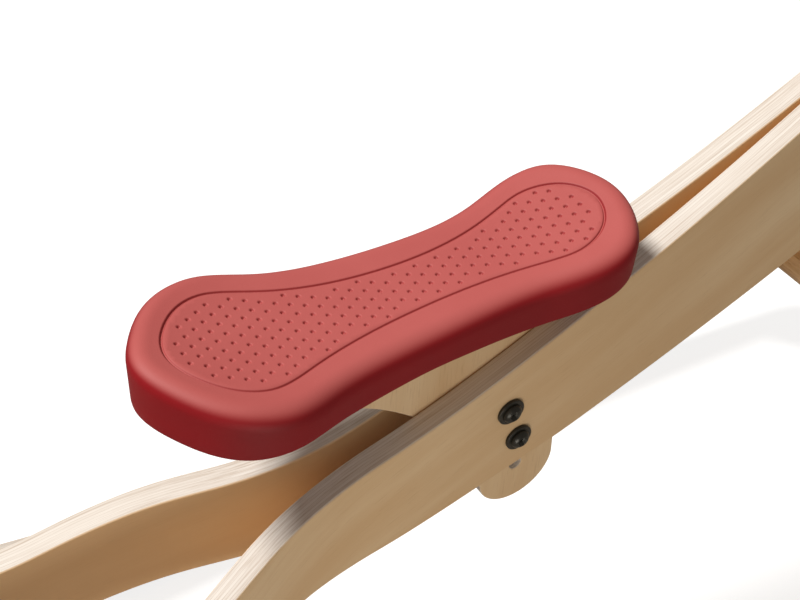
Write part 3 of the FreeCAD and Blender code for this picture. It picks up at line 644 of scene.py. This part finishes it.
def saddleShape():
    # rings run outwards from the groove: band, rolled edge, wall, rim, underside and the recess for the board
    count, roll, rim = saddle["around"], saddle["edgeRound"], saddle["rimRound"]
    outline, groove = mirroredLoop(halfOutline, count), mirroredLoop(halfGroove, count)
    shoulder, half = inset(outline, roll), saddle["grooveHalf"]
    under = smoothCurve(underLine, 2.0)
    plans, levels = [], []

    def addRing(plan, level):
        plans.append(plan)
        levels.append(level)

    def underAt(plan):
        return np.interp(plan[:, 0], under[:, 0], under[:, 1])

    for share in np.linspace(-1, 1, 7):   # groove: depth = deep cos^2(90 degrees x share)
        plan = inset(groove, -share * half)
        addRing(plan, saddleTop(plan) - saddle["grooveDeep"] * math.cos(share * math.pi / 2) ** 2)
    outer = plans[-1]
    for share in (0.08, 0.3, 0.55, 0.8):
        plan = outer + (shoulder - outer) * share
        addRing(plan, saddleTop(plan))
    for turn in np.linspace(0, math.pi / 2, 13):   # rolled edge: a quarter circle
        plan = inset(outline, roll * (1 - math.sin(turn)))
        addRing(plan, saddleTop(plan) - roll * (1 - math.cos(turn)))
    wallTop = levels[-1]
    for share in (0.25, 0.5, 0.75):
        plan = inset(outline, saddle["draft"] * share)
        addRing(plan, wallTop + (underAt(plan) + rim - wallTop) * share)
    for turn in np.linspace(0, math.pi / 2, 6):
        plan = inset(outline, saddle["draft"] + rim * (1 - math.cos(turn)))
        addRing(plan, underAt(plan) + rim * (1 - math.sin(turn)))
    width = (boardHigh[1] - boardLow[1]) / 2
    ends = boardLow[0] - seat[0] + width, boardHigh[0] - seat[0] - width
    recess = stadium((ends[0], 0), (ends[1], 0), width + saddle["recessMargin"], 0.5)
    recess = evenly(np.roll(recess, -int(np.argmax(recess[:, 0] - abs(recess[:, 1]))), 0), count)
    lowest = plans[-1]
    for share in (0.1, 0.4, 0.7, 0.95, 1.0):
        plan = lowest + (recess - lowest) * share
        addRing(plan, underAt(plan))
    roof = np.full(count, -saddle["boardDrop"])
    for depth, lift in ((0.4, 1.2), (0.5, None)):
        plan = inset(recess, depth)
        addRing(plan, roof if lift is None else underAt(plan) + lift)
    for share in (0.92, 0.5):
        addRing(plans[-1].mean(0) + (inset(recess, 0.5) - plans[-1].mean(0)) * share, roof)
    border = plans[0]
    dimples = dimplePlaces(groove)
    field, triangles, heights = dimpledField(border, dimples)
    rings = np.dstack([np.array(plans), np.array(levels)])
    # the field's first points are the first ring's, so the other rings are added after the field
    points = np.vstack([np.column_stack([field, heights]), rings[1:].reshape(-1, 3)])
    points[:count, 2] = levels[0]
    middle = len(points)
    points = np.vstack([points, [[rings[-1, :, 0].mean(), 0, -saddle["boardDrop"]]]])
    rows = np.vstack([np.arange(count), len(field) + np.arange((len(plans) - 1) * count).reshape(-1, count)])
    after = np.roll(rows, -1, 1)
    quads = np.stack([rows[:-1], rows[1:], after[1:], after[:-1]], -1).reshape(-1, 4)
    lid = np.stack([rows[-1], np.full(count, middle), after[-1]], 1)
    print("saddle:", len(dimples), "dimples,", len(points), "points")
    return points + seat, np.vstack([triangles, lid]), quads


saddlePiece = newPiece("saddle", saddleShape(), saddleFoam(), "saddle", ["saddle_pad"])

for node, material in (("saddle_board", boardPly), ("saddle_screws", zincSteel())):
    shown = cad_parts[node]
    shown.data.materials.clear()
    shown.data.materials.append(material)

# ---- plywood sheets

ply = {
    "edge": 1.1, "holeEdge": 0.4, "boltHole": 3.2,
    "rail": 12.0, "railLean": 24.5,     # thickness, and the grain's slope along a rail in degrees
    "spacing": 2.0, "bendSpacing": 7.0,
    "slotHalf": 3.3, "pitch": 21.7, "lobeRadius": 22.0, "lobeTurn": 8.0,
}
boltRadius = {"seat": 4.9, "washer": 7.0}


def diagonalPlaces(node, radius):
    # the XZ places of a pair of fasteners that lie on the falling diagonal of their node's box, or of a single one
    low, high = boxOf(node)
    first = np.array([low[0] + radius, high[2] - radius])
    second = np.array([high[0] - radius, low[2] + radius])
    return [first] if np.linalg.norm(second - first) < 1 else [first, second]


places = {
    word: diagonalPlaces(f"{word}_bolts", boltRadius["seat"])
    for word in ("seat", "head", "neck", "leg", "rear_joint", "front_joint")
}
places["screw"] = diagonalPlaces("stretcher_screws", boltRadius["seat"])
handleLow, handleHigh = boxOf("handle_bar")
places["handle"] = (handleLow[[0, 2]] + handleHigh[[0, 2]]) / 2
pegLow, pegHigh = boxOf("foot_peg_left")
places["peg"] = (pegLow[[0, 2]] + pegHigh[[0, 2]]) / 2


def holes(centres, radius=None):
    # round holes as clockwise loops
    return [ring(centre, radius or ply["boltHole"])[::-1] for centre in centres]


def routeLine(points, radii):
    # a path of straights joined by bends of those radii, as closely spaced points
    corners = np.array(points, float)
    path = [corners[:1]]
    for before, corner, after, radius in zip(corners, corners[1:], corners[2:], radii):
        arrive, leave = corner - before, after - corner
        arrive, leave = arrive / np.linalg.norm(arrive), leave / np.linalg.norm(leave)
        turn = math.acos(float(arrive @ leave))
        reach, pull = radius * math.tan(turn / 2), radius / math.cos(turn / 2)
        inward = (leave - arrive) / np.linalg.norm(leave - arrive)
        centre = corner + inward * pull
        path.append(arcThrough(corner - arrive * reach, centre - inward * radius, corner + leave * reach, 2.0))
    path.append(corners[-1:])
    return np.vstack(path)


def bentAlong(route, axis):
    # for a place along the axis (0 = x, 1 = z): the route's side distance there and 1 / cos of its slope
    order = np.argsort(route[:, 0])
    place, side = route[order, 0], route[order, 1]
    even = np.linspace(place[0], place[-1], 1200)
    distance = np.interp(even, place, side)
    stretch = np.sqrt(1 + np.gradient(distance, even) ** 2)

    def at(flat):
        return np.interp(flat[:, axis], even, distance), np.interp(flat[:, axis], even, stretch)

    return at


def addRim(piece, across, half, edge):
    # 0 on the sheet's faces to 1 on its cut edges, where the point is below the face by over a tenth of the rounding
    share = np.clip((half - 0.12 * edge - np.abs(across)) / (0.5 * edge), 0, 1)
    layer = piece.data.attributes.new("rim", "FLOAT", "POINT")
    layer.data.foreach_set("value", share.astype(np.float32))


def plySheet(name, loops, half, middle, body, nodes, lean=0.0, route=None, side=1, edge=None):
    # a sheet in the XZ plane, flat at Y = side x middle or bent so that Y = side (route + across / cos slope).
    # its grain runs at lean degrees to X
    edge = edge or ply["edge"]
    flat, triangles, quads = sheetShape(loops, half, edge, ply["bendSpacing"] if route else None)
    across = flat[:, 2]
    if route:
        distance, stretch = route(flat)
        y = side * (distance + across * stretch)
    else:
        y = side * (middle + across)
    points = np.stack([flat[:, 0], y, flat[:, 1]], 1)
    tilt = math.radians(lean)
    along = flat[:, 0] * math.cos(tilt) + flat[:, 1] * math.sin(tilt)
    over = flat[:, 1] * math.cos(tilt) - flat[:, 0] * math.sin(tilt)
    shift = 137.0 * (1 + len(name)) + 61.0 * side   # each sheet is cut from its own part of the veneer
    grain = np.stack([along + shift, across, over + 0.5 * shift], 1)
    piece = newPiece(name, (points, triangles, quads), birch, body, nodes, grain)
    addRim(piece, across, half, edge)
    return piece


railTop = [
    (-350.0, 122.0), (-268.0, 130.5), (-205.0, 146.0), (-159.0, 162.0), (-90.0, 189.5), (-36.0, 202.0),
    (24.0, 219.0), (101.0, 251.7), (173.0, 285.0), (233.0, 316.5), (312.0, 362.0),
]
railBottom = [
    (-350.0, 70.0), (-285.0, 79.0), (-200.0, 98.0), (-114.0, 129.0), (-60.0, 144.0), (-18.0, 147.5),
    (48.0, 161.5), (149.0, 191.0), (233.0, 220.0), (316.0, 254.0),
]
railNose, railTail = (346.0, 314.0), (-376.0, 96.0)
railRoute = [
    (360.0, 6.1), (255.0, 6.1), (97.0, 12.0), (-38.7, 12.0), (-109.0, 39.4), (-165.0, 53.35),
    (-300.0, 116.0), (-390.0, 116.0),
]
railBends = [400.0, 400.0, 180.0, 434.0, 250.0, 150.0]


def buildRails():
    step = ply["spacing"]
    outline = joined([
        smoothCurve(railTop, step),
        arcThrough(railTop[-1], railNose, railBottom[-1], step),
        smoothCurve(railBottom, step)[::-1],
        arcThrough(railBottom[0], railTail, railTop[0], step),
    ])
    loops = [outline] + holes(
        places["seat"] + places["neck"] + places["leg"] + places["rear_joint"] + places["screw"][:1]
    )
    route = bentAlong(routeLine(railRoute, railBends), 0)
    for word, side in sides:
        plySheet(
            f"rail{word.title()}", loops, ply["rail"] / 2, 0, "frame", [f"rail_{word}"],
            ply["railLean"], route, side,
        )


buildRails()
print("rails bent")

wingRear = [(-44.0, -14.0), (-47.0, -26.0), (-37.0, -42.0), (-10.0, -57.4), (15.0, -76.0)]
wingFront = [(99.0, -120.0), (92.0, -70.0), (84.0, -34.0), (68.0, -14.0)]


def buildSeatPlate():
    # the saddle's upright plate, with a slot for the two clamp bolts and a round lobe at its foot
    step, radius = ply["spacing"], ply["lobeRadius"]
    upper, lower = places["seat"]
    lobe = upper + (lower - upper) * 3
    turn = math.radians(ply["lobeTurn"])
    saddlePlane = seat[[0, 2]]
    back = lobe - radius * np.array([math.cos(turn), math.sin(turn)])
    rear, front = np.array(wingRear) + saddlePlane, np.array(wingFront) + saddlePlane
    foot = arcThrough(back, lobe - np.array([0, radius]), lobe + np.array([radius, 0]), step)
    outline = joined([
        smoothCurve(rear, step), straight(rear[-1], back, step), foot,
        smoothCurve(np.vstack([foot[-1:], front]), step), straight(front[-1], rear[0], step),
    ])
    slot = stadium(upper, upper + (lower - upper) * 2.88, ply["slotHalf"], 0.8)[::-1]
    plateLow, plateHigh = boxOf("seat_plate")
    half = (plateHigh[1] - plateLow[1]) / 2
    plySheet("seatPlate", [outline, slot], half, 0, "saddle", ["seat_plate"], 90.0, edge=0.8)


buildSeatPlate()

rocker = {
    "radius": 1150.0, "middle": 75.0, "flatHalf": 65.0, "strip": 2.0, "depth": 46.0,
    "end": 392.0, "stripEnd": 360.0, "treadPitch": 6.0, "treadDeep": 0.6,
}
rockerLift = math.sqrt(rocker["radius"] ** 2 - rocker["flatHalf"] ** 2)


def rockerArc(radius, rear, front, level, count):
    # x = middle + radius sin t, z = lift - radius cos t, and never below the level of the flat rest
    middle = rocker["radius"] - rocker["strip"] - rocker["depth"] / 2
    turn = np.linspace(math.asin((rear - rocker["middle"]) / middle), math.asin((front - rocker["middle"]) / middle), count)
    x = rocker["middle"] + radius * np.sin(turn)
    return np.stack([x, np.maximum(rockerLift - radius * np.cos(turn), level)], 1)


def buildRunners():
    outerRadius = rocker["radius"] - rocker["strip"]
    innerRadius = outerRadius - rocker["depth"]
    end = rocker["end"]
    low = rockerArc(outerRadius, -end, end, rocker["strip"], 400)
    high = rockerArc(innerRadius, -end, end, rocker["strip"], 400)
    nose, tail = (low[-1] + high[-1]) / 2, (low[0] + high[0]) / 2
    noseTurn = math.atan2(*(low[-1] - nose)[::-1])
    tailTurn = math.atan2(*(high[0] - tail)[::-1])
    half = rocker["depth"] / 2
    outline = joined([
        low, arcAround(nose, half, noseTurn, noseTurn + math.pi, 2.0),
        high[::-1], arcAround(tail, half, tailTurn, tailTurn + math.pi, 2.0),
    ])
    loops = [outline] + holes(places["rear_joint"] + places["front_joint"] + places["screw"])
    loops += holes([places["peg"]], 9.0)
    for word, side in sides:
        low, high = boxOf(f"runner_{word}")
        half, middle = (high[1] - low[1]) / 2, abs(high[1] + low[1]) / 2
        plySheet(f"runner{word.title()}", loops, half, middle, "frame", [f"runner_{word}"], side=side, edge=1.6)


def buildFloorStrips():
    # a rubber strip under each runner: a rounded oblong carried along the rocker's arc, with cross treads cut
    # into its underside: the tread goes up by deep where sin^2(pi x along / pitch) is over a half
    count, half = 1100, 6.0
    under = rockerArc(rocker["radius"], -rocker["stripEnd"], rocker["stripEnd"], 0, count)
    upper = rockerArc(rocker["radius"] - rocker["strip"], -rocker["stripEnd"], rocker["stripEnd"], rocker["strip"], count)
    along = np.concatenate([[0], np.cumsum(np.linalg.norm(np.diff(under, axis=0), axis=1))])
    tread = np.clip(6 * (np.sin(math.pi * along / rocker["treadPitch"]) ** 2 - 0.82), 0, 1) * rocker["treadDeep"]
    # profile points: sideways place and share of the height, from the underside round to the top
    profile = np.array([
        (-5.4, 0.0), (-2.7, 0.0), (0.0, 0.0), (2.7, 0.0), (5.4, 0.0), (5.82, 0.1), (6.0, 0.3),
        (6.0, 0.9), (5.9, 1.0), (0.0, 1.0), (-5.9, 1.0), (-6.0, 0.9), (-6.0, 0.3), (-5.82, 0.1),
    ])
    share, aside = profile[:, 1], profile[:, 0] * half / 6
    lift = upper - under
    cut = (1 - share)[None, :] * (tread / np.linalg.norm(lift, axis=1))[:, None]
    level = (share[None, :] + cut)[..., None]
    plan = under[:, None, :] + lift[:, None, :] * level
    for word, side in sides:
        low, high = boxOf(f"floor_strip_{word}")
        middle = (low[1] + high[1]) / 2
        points = np.stack([plan[..., 0], np.broadcast_to(middle + aside, plan.shape[:2]), plan[..., 1]], -1).reshape(-1, 3)
        around = len(profile)
        first, last = np.arange(around), (count - 1) * around + np.arange(around)
        ends = np.vstack([points[first].mean(0), points[last].mean(0)])
        start = len(points)
        caps = np.vstack([
            np.stack([np.full(around, start), np.roll(first, -1), first], 1),
            np.stack([np.full(around, start + 1), last, np.roll(last, -1)], 1),
        ])
        shape = (np.vstack([points, ends]), caps, tube(count, around)[:, ::-1][:, [3, 2, 1, 0]])
        newPiece(f"floorStrip{word.title()}", shape, floorRubber, "frame", [f"floor_strip_{word}"])


legs = {"top": (324.0, 300.0), "footX": 388.0, "footLift": 12.0, "radius": 25.0, "bends": [90.0, 70.0]}
legRoute = [(360.0, 27.1), (245.0, 27.1), (120.0, 116.0), (20.0, 116.0)]


def buildLegs():
    middle = rocker["radius"] - rocker["strip"] - rocker["depth"] / 2
    footZ = rockerLift - math.sqrt(middle**2 - (legs["footX"] - rocker["middle"]) ** 2) + legs["footLift"]
    outline = stadium(legs["top"], (legs["footX"], footZ), legs["radius"], ply["spacing"])
    loops = [outline] + holes(places["leg"] + places["front_joint"] + places["screw"][1:])
    route = bentAlong(routeLine(legRoute, legs["bends"]), 1)
    for word, side in sides:
        plySheet(
            f"frontLeg{word.title()}", loops, ply["rail"] / 2, 0, "frame", [f"front_leg_{word}"], -76.0, route, side
        )


buildRunners()
buildFloorStrips()
buildLegs()
print("runners and legs made")

# ---- head

cheekOutline = [
    (266.0, 268.0), (265.0, 330.0), (270.0, 385.0), (281.0, 440.0), (300.0, 488.0), (326.0, 515.0),
    (350.0, 510.0), (370.0, 482.0), (394.0, 447.0), (408.0, 424.0), (403.0, 404.0), (384.0, 399.0),
    (364.0, 408.0), (348.0, 394.0), (347.0, 350.0), (356.0, 300.0), (350.0, 258.0), (318.0, 238.0),
    (284.0, 240.0),
]
maneRoot = [(286.0, 360.0), (295.0, 400.0), (306.0, 440.0), (321.0, 472.0), (346.0, 496.0)]
coreFace = [
    (346.0, 496.0), (366.0, 478.0), (390.0, 443.0), (402.0, 424.0), (398.0, 408.0), (384.0, 404.0),
    (364.0, 413.0), (346.0, 406.0), (340.0, 392.0), (322.0, 378.0),
]
maneEdge = [
    (346.0, 496.0), (352.0, 515.0), (338.0, 529.0), (322.0, 524.0), (310.0, 527.0), (300.0, 512.0),
    (288.0, 508.0), (286.0, 488.0), (273.0, 480.0), (274.0, 460.0), (262.0, 448.0), (266.0, 428.0),
    (254.0, 414.0), (260.0, 394.0), (250.0, 378.0), (258.0, 356.0), (272.0, 344.0), (286.0, 360.0),
]
earTip = (314.0, 545.0)
earRear = [(318.0, 496.0), (306.0, 520.0), earTip]
earFront = [earTip, (336.0, 524.0), (338.0, 500.0)]
earFoot = [(338.0, 500.0), (328.0, 492.0), (318.0, 496.0)]
feltSheets = {"count": 4, "edge": 1.7, "gap": 0.15, "step": 1.2}


def buildHead():
    step = ply["spacing"]
    cheek = joined([np.vstack([c := smoothCurve(cheekOutline, step, closed=True), c[:1]])])
    loops = [cheek] + holes(places["neck"] + places["leg"] + places["head"])
    handleHole = holes([places["handle"]], (handleHigh[0] - handleLow[0]) / 2)
    for word, side in sides:
        low, high = boxOf(f"head_cheek_{word}")
        half, middle = (high[1] - low[1]) / 2, abs(high[1] + low[1]) / 2
        plySheet(
            f"headCheek{word.title()}", loops + handleHole, half, middle, "frame",
            [f"head_cheek_{word}"], 78.0, side=side, edge=2.0,
        )
    core = joined([smoothCurve(maneRoot, step), smoothCurve(coreFace, step), straight(coreFace[-1], maneRoot[0], step)])
    low, high = boxOf("head_core")
    coreHoles = holes(places["head"][1:]) + handleHole
    plySheet("headCore", [core] + coreHoles, high[1], 0, "frame", ["head_core"], 60.0, edge=0.6)


def feltShape(loops, low, high, count):
    # a stack of count cut felt sheets between two Y levels, their edges rounded over
    half = (high - low) / count / 2 - feltSheets["gap"]
    parts = []
    for k in range(count):
        flat, triangles, quads = sheetShape(loops, half, min(feltSheets["edge"], half * 0.8), steps=4)
        y = low + (high - low) * (k + 0.5) / count + flat[:, 2]
        parts.append((np.stack([flat[:, 0], y, flat[:, 1]], 1), triangles, quads))
    return stacked(parts)


def buildFelt():
    step = feltSheets["step"]
    mane = joined([smoothCurve(maneRoot, step), smoothCurve(maneEdge, step)])
    maneLow, maneHigh = boxOf("mane")
    shape = feltShape([mane] + holes(places["head"][:1]), maneLow[1], maneHigh[1], feltSheets["count"])
    newPiece("mane", shape, felt, "frame", ["mane"])
    ear = joined([smoothCurve(earRear, step), smoothCurve(earFront, step), arcThrough(*earFoot, step)])
    for word, side in sides:
        low, high = boxOf(f"ear_{word}")
        piece = newPiece(
            f"ear{word.title()}", feltShape([ear], low[1], high[1], 1), felt, "frame", [f"ear_{word}"]
        )


buildHead()
buildFelt()


def roundedProfile(radius, start, end, edge, steps=5):
    # a bar's profile: pole, quarter round, side, quarter round, pole
    turn = np.linspace(0, math.pi / 2, steps)
    first = np.stack([radius - edge + edge * np.sin(turn), start + edge * (1 - np.cos(turn))], 1)
    last = np.stack([radius - edge + edge * np.cos(turn), end - edge * (1 - np.sin(turn))], 1)
    return np.vstack([[(0, start)], first, last, [(0, end)]])


def ribbedProfile(radius, start, end, edge, pitch, deep):
    # the same bar with soft rings round it: radius falls by deep sin^2(pi x along / pitch)
    body = roundedProfile(radius, start, end, edge)
    half = len(body) // 2
    along = np.arange(start + edge + pitch / 2, end - edge - pitch / 2, pitch / 8)
    waves = radius - deep * np.sin(math.pi * (along - along[0]) / pitch) ** 2
    return np.vstack([body[:half], np.stack([waves, along], 1), body[half:]])


def buildTurned():
    # handle bar, grips, foot pegs, caps, stretchers and eyes: turned about Y
    low, high = boxOf("handle_bar")
    radius = (high[0] - low[0]) / 2
    bar = alongY(turnedShape(roundedProfile(radius, 0, high[1] - low[1], 1.5), 64), places["handle"], low[1], 1)
    newPiece("handleBar", bar, beech, "frame", ["handle_bar"])
    for word, side in sides:
        low, high = boxOf(f"grip_{word}")
        inner, outer = sorted((abs(low[1]), abs(high[1])))
        profile = ribbedProfile((high[0] - low[0]) / 2, 0, outer - inner, 3.0, 5.0, 0.8)
        grip = newPiece(
            f"grip{word.title()}", alongY(turnedShape(profile, 64), places["handle"], side * inner, side),
            gripRubber, "frame", [f"grip_{word}"],
        )
        low, high = boxOf(f"foot_peg_{word}")
        inner, outer = sorted((abs(low[1]), abs(high[1])))
        pegRadius = (high[0] - low[0]) / 2
        shoulder = 18.0
        profile = [(0, 0), (9, 0), (9, shoulder), (pegRadius - 0.8, shoulder), (pegRadius, shoulder + 0.8)]
        profile += roundedProfile(pegRadius, 0, outer - inner, 1.0)[6:].tolist()
        newPiece(
            f"footPeg{word.title()}", alongY(turnedShape(profile, 64), places["peg"], side * inner, side),
            beech, "frame", [f"foot_peg_{word}"],
        )
        low, high = boxOf(f"peg_cap_{word}")
        inner, outer = sorted((abs(low[1]), abs(high[1])))
        profile = ribbedProfile((high[0] - low[0]) / 2, 0, outer - inner, 1.8, 2.5, 0.5)
        newPiece(
            f"pegCap{word.title()}", alongY(turnedShape(profile, 64), places["peg"], side * inner, side),
            capRubber, "frame", [f"peg_cap_{word}"],
        )
        low, high = boxOf(f"eye_{word}")
        inner, outer = sorted((abs(low[1]), abs(high[1])))
        radius, height = (high[0] - low[0]) / 2, outer - inner
        turn = np.linspace(0, math.pi / 2, 12)
        dome = np.stack([radius * np.cos(turn), 0.3 + (height - 0.3) * np.sin(turn)], 1)[:-1]
        profile = np.vstack([[(0, 0), (radius, 0)], dome, [(0, height)]])
        middle = (low[[0, 2]] + high[[0, 2]]) / 2
        newPiece(
            f"eye{word.title()}", alongY(turnedShape(profile, 64), middle, side * inner, side),
            eyeMaterial, "frame", [f"eye_{word}"],
        )
    for word in ("rear", "front"):
        low, high = boxOf(f"{word}_stretcher")
        middle = (low[[0, 2]] + high[[0, 2]]) / 2
        bar = turnedShape(roundedProfile((high[0] - low[0]) / 2, 0, high[1] - low[1], 0.8), 64)
        newPiece(
            f"{word}Stretcher", alongY(bar, middle, low[1], 1), beech, "frame", [f"{word}_stretcher"]
        )


eyeMaterial = eyeGloss()
buildTurned()
print("head and turned pieces made")

# ---- fasteners

fastener = {
    "shank": 3.0, "head": 4.9, "headHeight": 2.8, "socket": 2.4, "socketDeep": 1.7,
    "washer": 7.0, "washerThick": 1.6, "hole": 3.2, "nut": 6.5, "nutHeight": 7.5,
}


def buttonBolt(length):
    # shank, flat underside, domed head r = head cos t, and a hex socket with a chamfered mouth
    f = fastener
    turn = np.linspace(0.12, 0.95, 9)
    rise = (f["headHeight"] - 0.5) / math.sin(turn[-1])
    dome = np.stack([f["head"] * np.cos(turn) / math.cos(turn[0]), 0.5 + rise * (np.sin(turn) - math.sin(turn[0]))], 1)
    dome[:, 1] *= f["headHeight"] / dome[-1, 1]
    profile = [(0, -length), (f["shank"] - 0.5, -length), (f["shank"], 0.5 - length), (f["shank"], 0)]
    profile += [(f["head"] - 0.3, 0), (f["head"], 0.3)] + dome.tolist()
    rim = len(profile)
    top = f["headHeight"]
    profile += [(f["socket"] + 0.28, top), (f["socket"], top - 0.22), (f["socket"], top - f["socketDeep"])]
    profile += [(f["socket"] * 0.5, top - f["socketDeep"] - 0.1), (0, top - f["socketDeep"] - 0.3)]
    return turnedShape(profile, 48, hexRings=(rim + 1, rim + 2, rim + 3))


def domedNut():
    # a low collar and a half-round dome: r = nut cos t, height by sin t
    f = fastener
    turn = np.linspace(0, math.pi / 2, 10)
    dome = np.stack([f["nut"] * 0.94 * np.cos(turn), 3.0 + (f["nutHeight"] - 3.0) * np.sin(turn)], 1)[:-1]
    profile = [(0, 0), (f["nut"] - 0.3, 0), (f["nut"], 0.3), (f["nut"], 2.4), (f["nut"] - 0.2, 2.7)]
    return turnedShape(profile + dome.tolist() + [(0, f["nutHeight"])])


def washerShape():
    # a flat ring with rounded rims, closed on itself
    f = fastener
    edge, thick = 0.35, f["washerThick"]
    turn = np.linspace(0, math.pi / 2, 4)
    up = np.stack([edge * np.cos(turn), edge * np.sin(turn)], 1)
    corner = np.vstack([
        np.stack([f["washer"] - edge + up[:, 0], thick - edge + up[:, 1]], 1),
        np.stack([f["hole"] + edge - up[::-1, 0], thick - edge + up[::-1, 1]], 1),
        np.stack([f["hole"] + edge - up[:, 0], edge - up[:, 1]], 1),
        np.stack([f["washer"] - edge + up[::-1, 0], edge - up[::-1, 1]], 1),
    ])
    corner = np.vstack([corner, corner[:1]])
    around = 64
    angle = np.arange(around) * 2 * math.pi / around
    points = np.stack([
        corner[:-1, :1] * np.cos(angle), corner[:-1, :1] * np.sin(angle), np.repeat(corner[:-1, 1:], around, 1),
    ], -1).reshape(-1, 3)
    rows = np.vstack([np.arange(len(points)).reshape(-1, around), np.arange(around)])
    after = np.roll(rows, -1, 1)
    quads = np.stack([rows[:-1], after[:-1], after[1:], rows[1:]], -1).reshape(-1, 4)
    return points, np.zeros((0, 3), int), quads


def buildFasteners():
    height = fastener["headHeight"]
    for word in ("seat", "head", "neck", "leg"):
        low, high = boxOf(f"{word}_bolts")
        bolts = [alongY(buttonBolt(high[1] - low[1] - height), place, low[1] + height, -1) for place in places[word]]
        newPiece(f"{word}Bolts", stacked(bolts), steel, "frame", [f"{word}_bolts"])
        low, high = boxOf(f"{word}_nuts")
        nuts = [alongY(domedNut(), place, low[1], 1) for place in places[word]]
        newPiece(f"{word}Nuts", stacked(nuts), steel, "frame", [f"{word}_nuts"])
    for word in ("rear", "front"):
        place = places[f"{word}_joint"][0]
        high = boxOf(f"{word}_joint_bolts")[1]
        inner = boxOf(f"{word}_joint_nuts")[1][1]
        length = high[1] - height - (inner - 5.0)
        bolts = [alongY(buttonBolt(length), place, side * (high[1] - height), side) for _, side in sides]
        newPiece(f"{word}JointBolts", stacked(bolts), steel, "frame", [f"{word}_joint_bolts"])
        nuts = [alongY(domedNut(), place, side * inner, -side) for _, side in sides]
        newPiece(f"{word}JointNuts", stacked(nuts), steel, "frame", [f"{word}_joint_nuts"])
    high = boxOf("stretcher_screws")[1]
    screws = [
        alongY(buttonBolt(60.0), place, side * (high[1] - height), side)
        for place in places["screw"] for _, side in sides
    ]
    newPiece("stretcherScrews", stacked(screws), steel, "frame", ["stretcher_screws"])
    high = boxOf("seat_washers")[1]
    face = high[1] - fastener["washerThick"]
    washers = [alongY(washerShape(), place, side * face, side) for place in places["seat"] for _, side in sides]
    newPiece("seatWashers", stacked(washers), steel, "frame", ["seat_washers"])


buildFasteners()
print("fasteners made")

# ---- studio

studio = {
    "cameraPlace": (-0.2301, -0.3429, 0.6537), "cameraTurn": (48.49, -3.018, -32.384),
    "lens": 61.47, "sensor": 36.0,
    "sunPlace": (-1.0, 0.55, 1.7), "sunAngle": 14.0, "sunStrength": 3.6,
    "frontPlace": (-0.28, -0.66, 0.02), "frontSize": 0.4, "frontPower": 2.7,
    "sky": (1.0, 0.93, 0.84, 1.0), "skyStrength": 0.27, "backdrop": (1.0, 1.0, 1.0, 1.0),
    "floor": linear(160, 159, 158), "floorGlow": 0.8,
}


def aimed(item, place, target):
    item.location = place
    heading = (np.array(target) - np.array(place)).tolist()
    item.rotation_euler = Vector(heading).to_track_quat("-Z", "Y").to_euler()


def softbox(name, place, size, power, tint=(1.0, 0.94, 0.86)):
    light = bpy.data.lights.new(name, "AREA")
    light.shape, light.size, light.energy, light.color = "DISK", size, power, tint
    item = bpy.data.objects.new(name, light)
    bpy.context.scene.collection.objects.link(item)
    item.visible_camera = False
    aimed(item, place, (0.02, 0.0, 0.25))


def buildStudio():
    camera = bpy.data.objects.new("camera", bpy.data.cameras.new("camera"))
    bpy.context.scene.collection.objects.link(camera)
    camera.location = studio["cameraPlace"]
    camera.rotation_euler = [math.radians(turn) for turn in studio["cameraTurn"]]
    camera.data.lens, camera.data.sensor_width = studio["lens"], studio["sensor"]
    camera.data.clip_start, camera.data.clip_end = 0.02, 50
    bpy.context.scene.camera = camera
    sun = bpy.data.lights.new("sun", "SUN")
    sun.angle, sun.energy, sun.color = math.radians(studio["sunAngle"]), studio["sunStrength"], (1.0, 0.995, 0.98)
    sunLamp = bpy.data.objects.new("sun", sun)
    bpy.context.scene.collection.objects.link(sunLamp)
    aimed(sunLamp, studio["sunPlace"], (0.0, 0.0, 0.0))
    softbox("frontLight", studio["frontPlace"], studio["frontSize"], studio["frontPower"])
    world = bpy.data.worlds.new("studio")
    world.use_nodes = True
    sky = world.node_tree.nodes["Background"]
    sky.inputs["Color"].default_value, sky.inputs["Strength"].default_value = studio["sky"], studio["skyStrength"]
    # the backdrop is white, and lights the object only softly
    nodes = world.node_tree
    backdrop = addNode(nodes, "Background", {"Color": studio["backdrop"], "Strength": 1.0})
    rays = addNode(nodes, "LightPath").outputs["Is Camera Ray"]
    mixed = addNode(nodes, "MixShader", {0: rays, 1: sky.outputs[0], 2: backdrop.outputs[0]})
    nodes.links.new(mixed.outputs[0], nodes.nodes["World Output"].inputs["Surface"])
    bpy.context.scene.world = world
    bpy.context.scene.view_settings.view_transform = "Standard"
    material, tree, shader = newMaterial(
        "floorPaint", Roughness=0.8, Specular_IOR_Level=0.2, Emission_Strength=studio["floorGlow"],
        Emission_Color=(1.0, 1.0, 1.0, 1.0),
    )
    mottle = noise(tree, objectPlace(tree), 3.0, 2.0, 0.5)
    pale = blendColour(tree, between(tree, mottle, 0.3, 0.7, 0.0, 0.15), studio["floor"], (0.5, 0.5, 0.5, 1.0))
    tree.links.new(pale, shader.inputs["Base Color"])
    # seen from below the floor is clear, so that the underside shows
    under = addNode(tree, "NewGeometry").outputs["Backfacing"]
    clear = addNode(tree, "BsdfTransparent").outputs[0]
    oneSided = addNode(tree, "MixShader", {0: under, 1: shader.outputs[0], 2: clear})
    tree.links.new(oneSided.outputs[0], tree.nodes["Material Output"].inputs["Surface"])
    reach = 8.0
    mesh = bpy.data.meshes.new("floor")
    corners = [(-reach, -reach, 0), (reach, -reach, 0), (reach, reach, 0), (-reach, reach, 0)]
    mesh.from_pydata(corners, [], [(0, 1, 2, 3)])
    mesh.materials.append(material)
    floor = bpy.data.objects.new("floor", mesh)
    bpy.context.scene.collection.objects.link(floor)
    floor.visible_diffuse = floor.visible_glossy = False


buildStudio()
print("studio set")
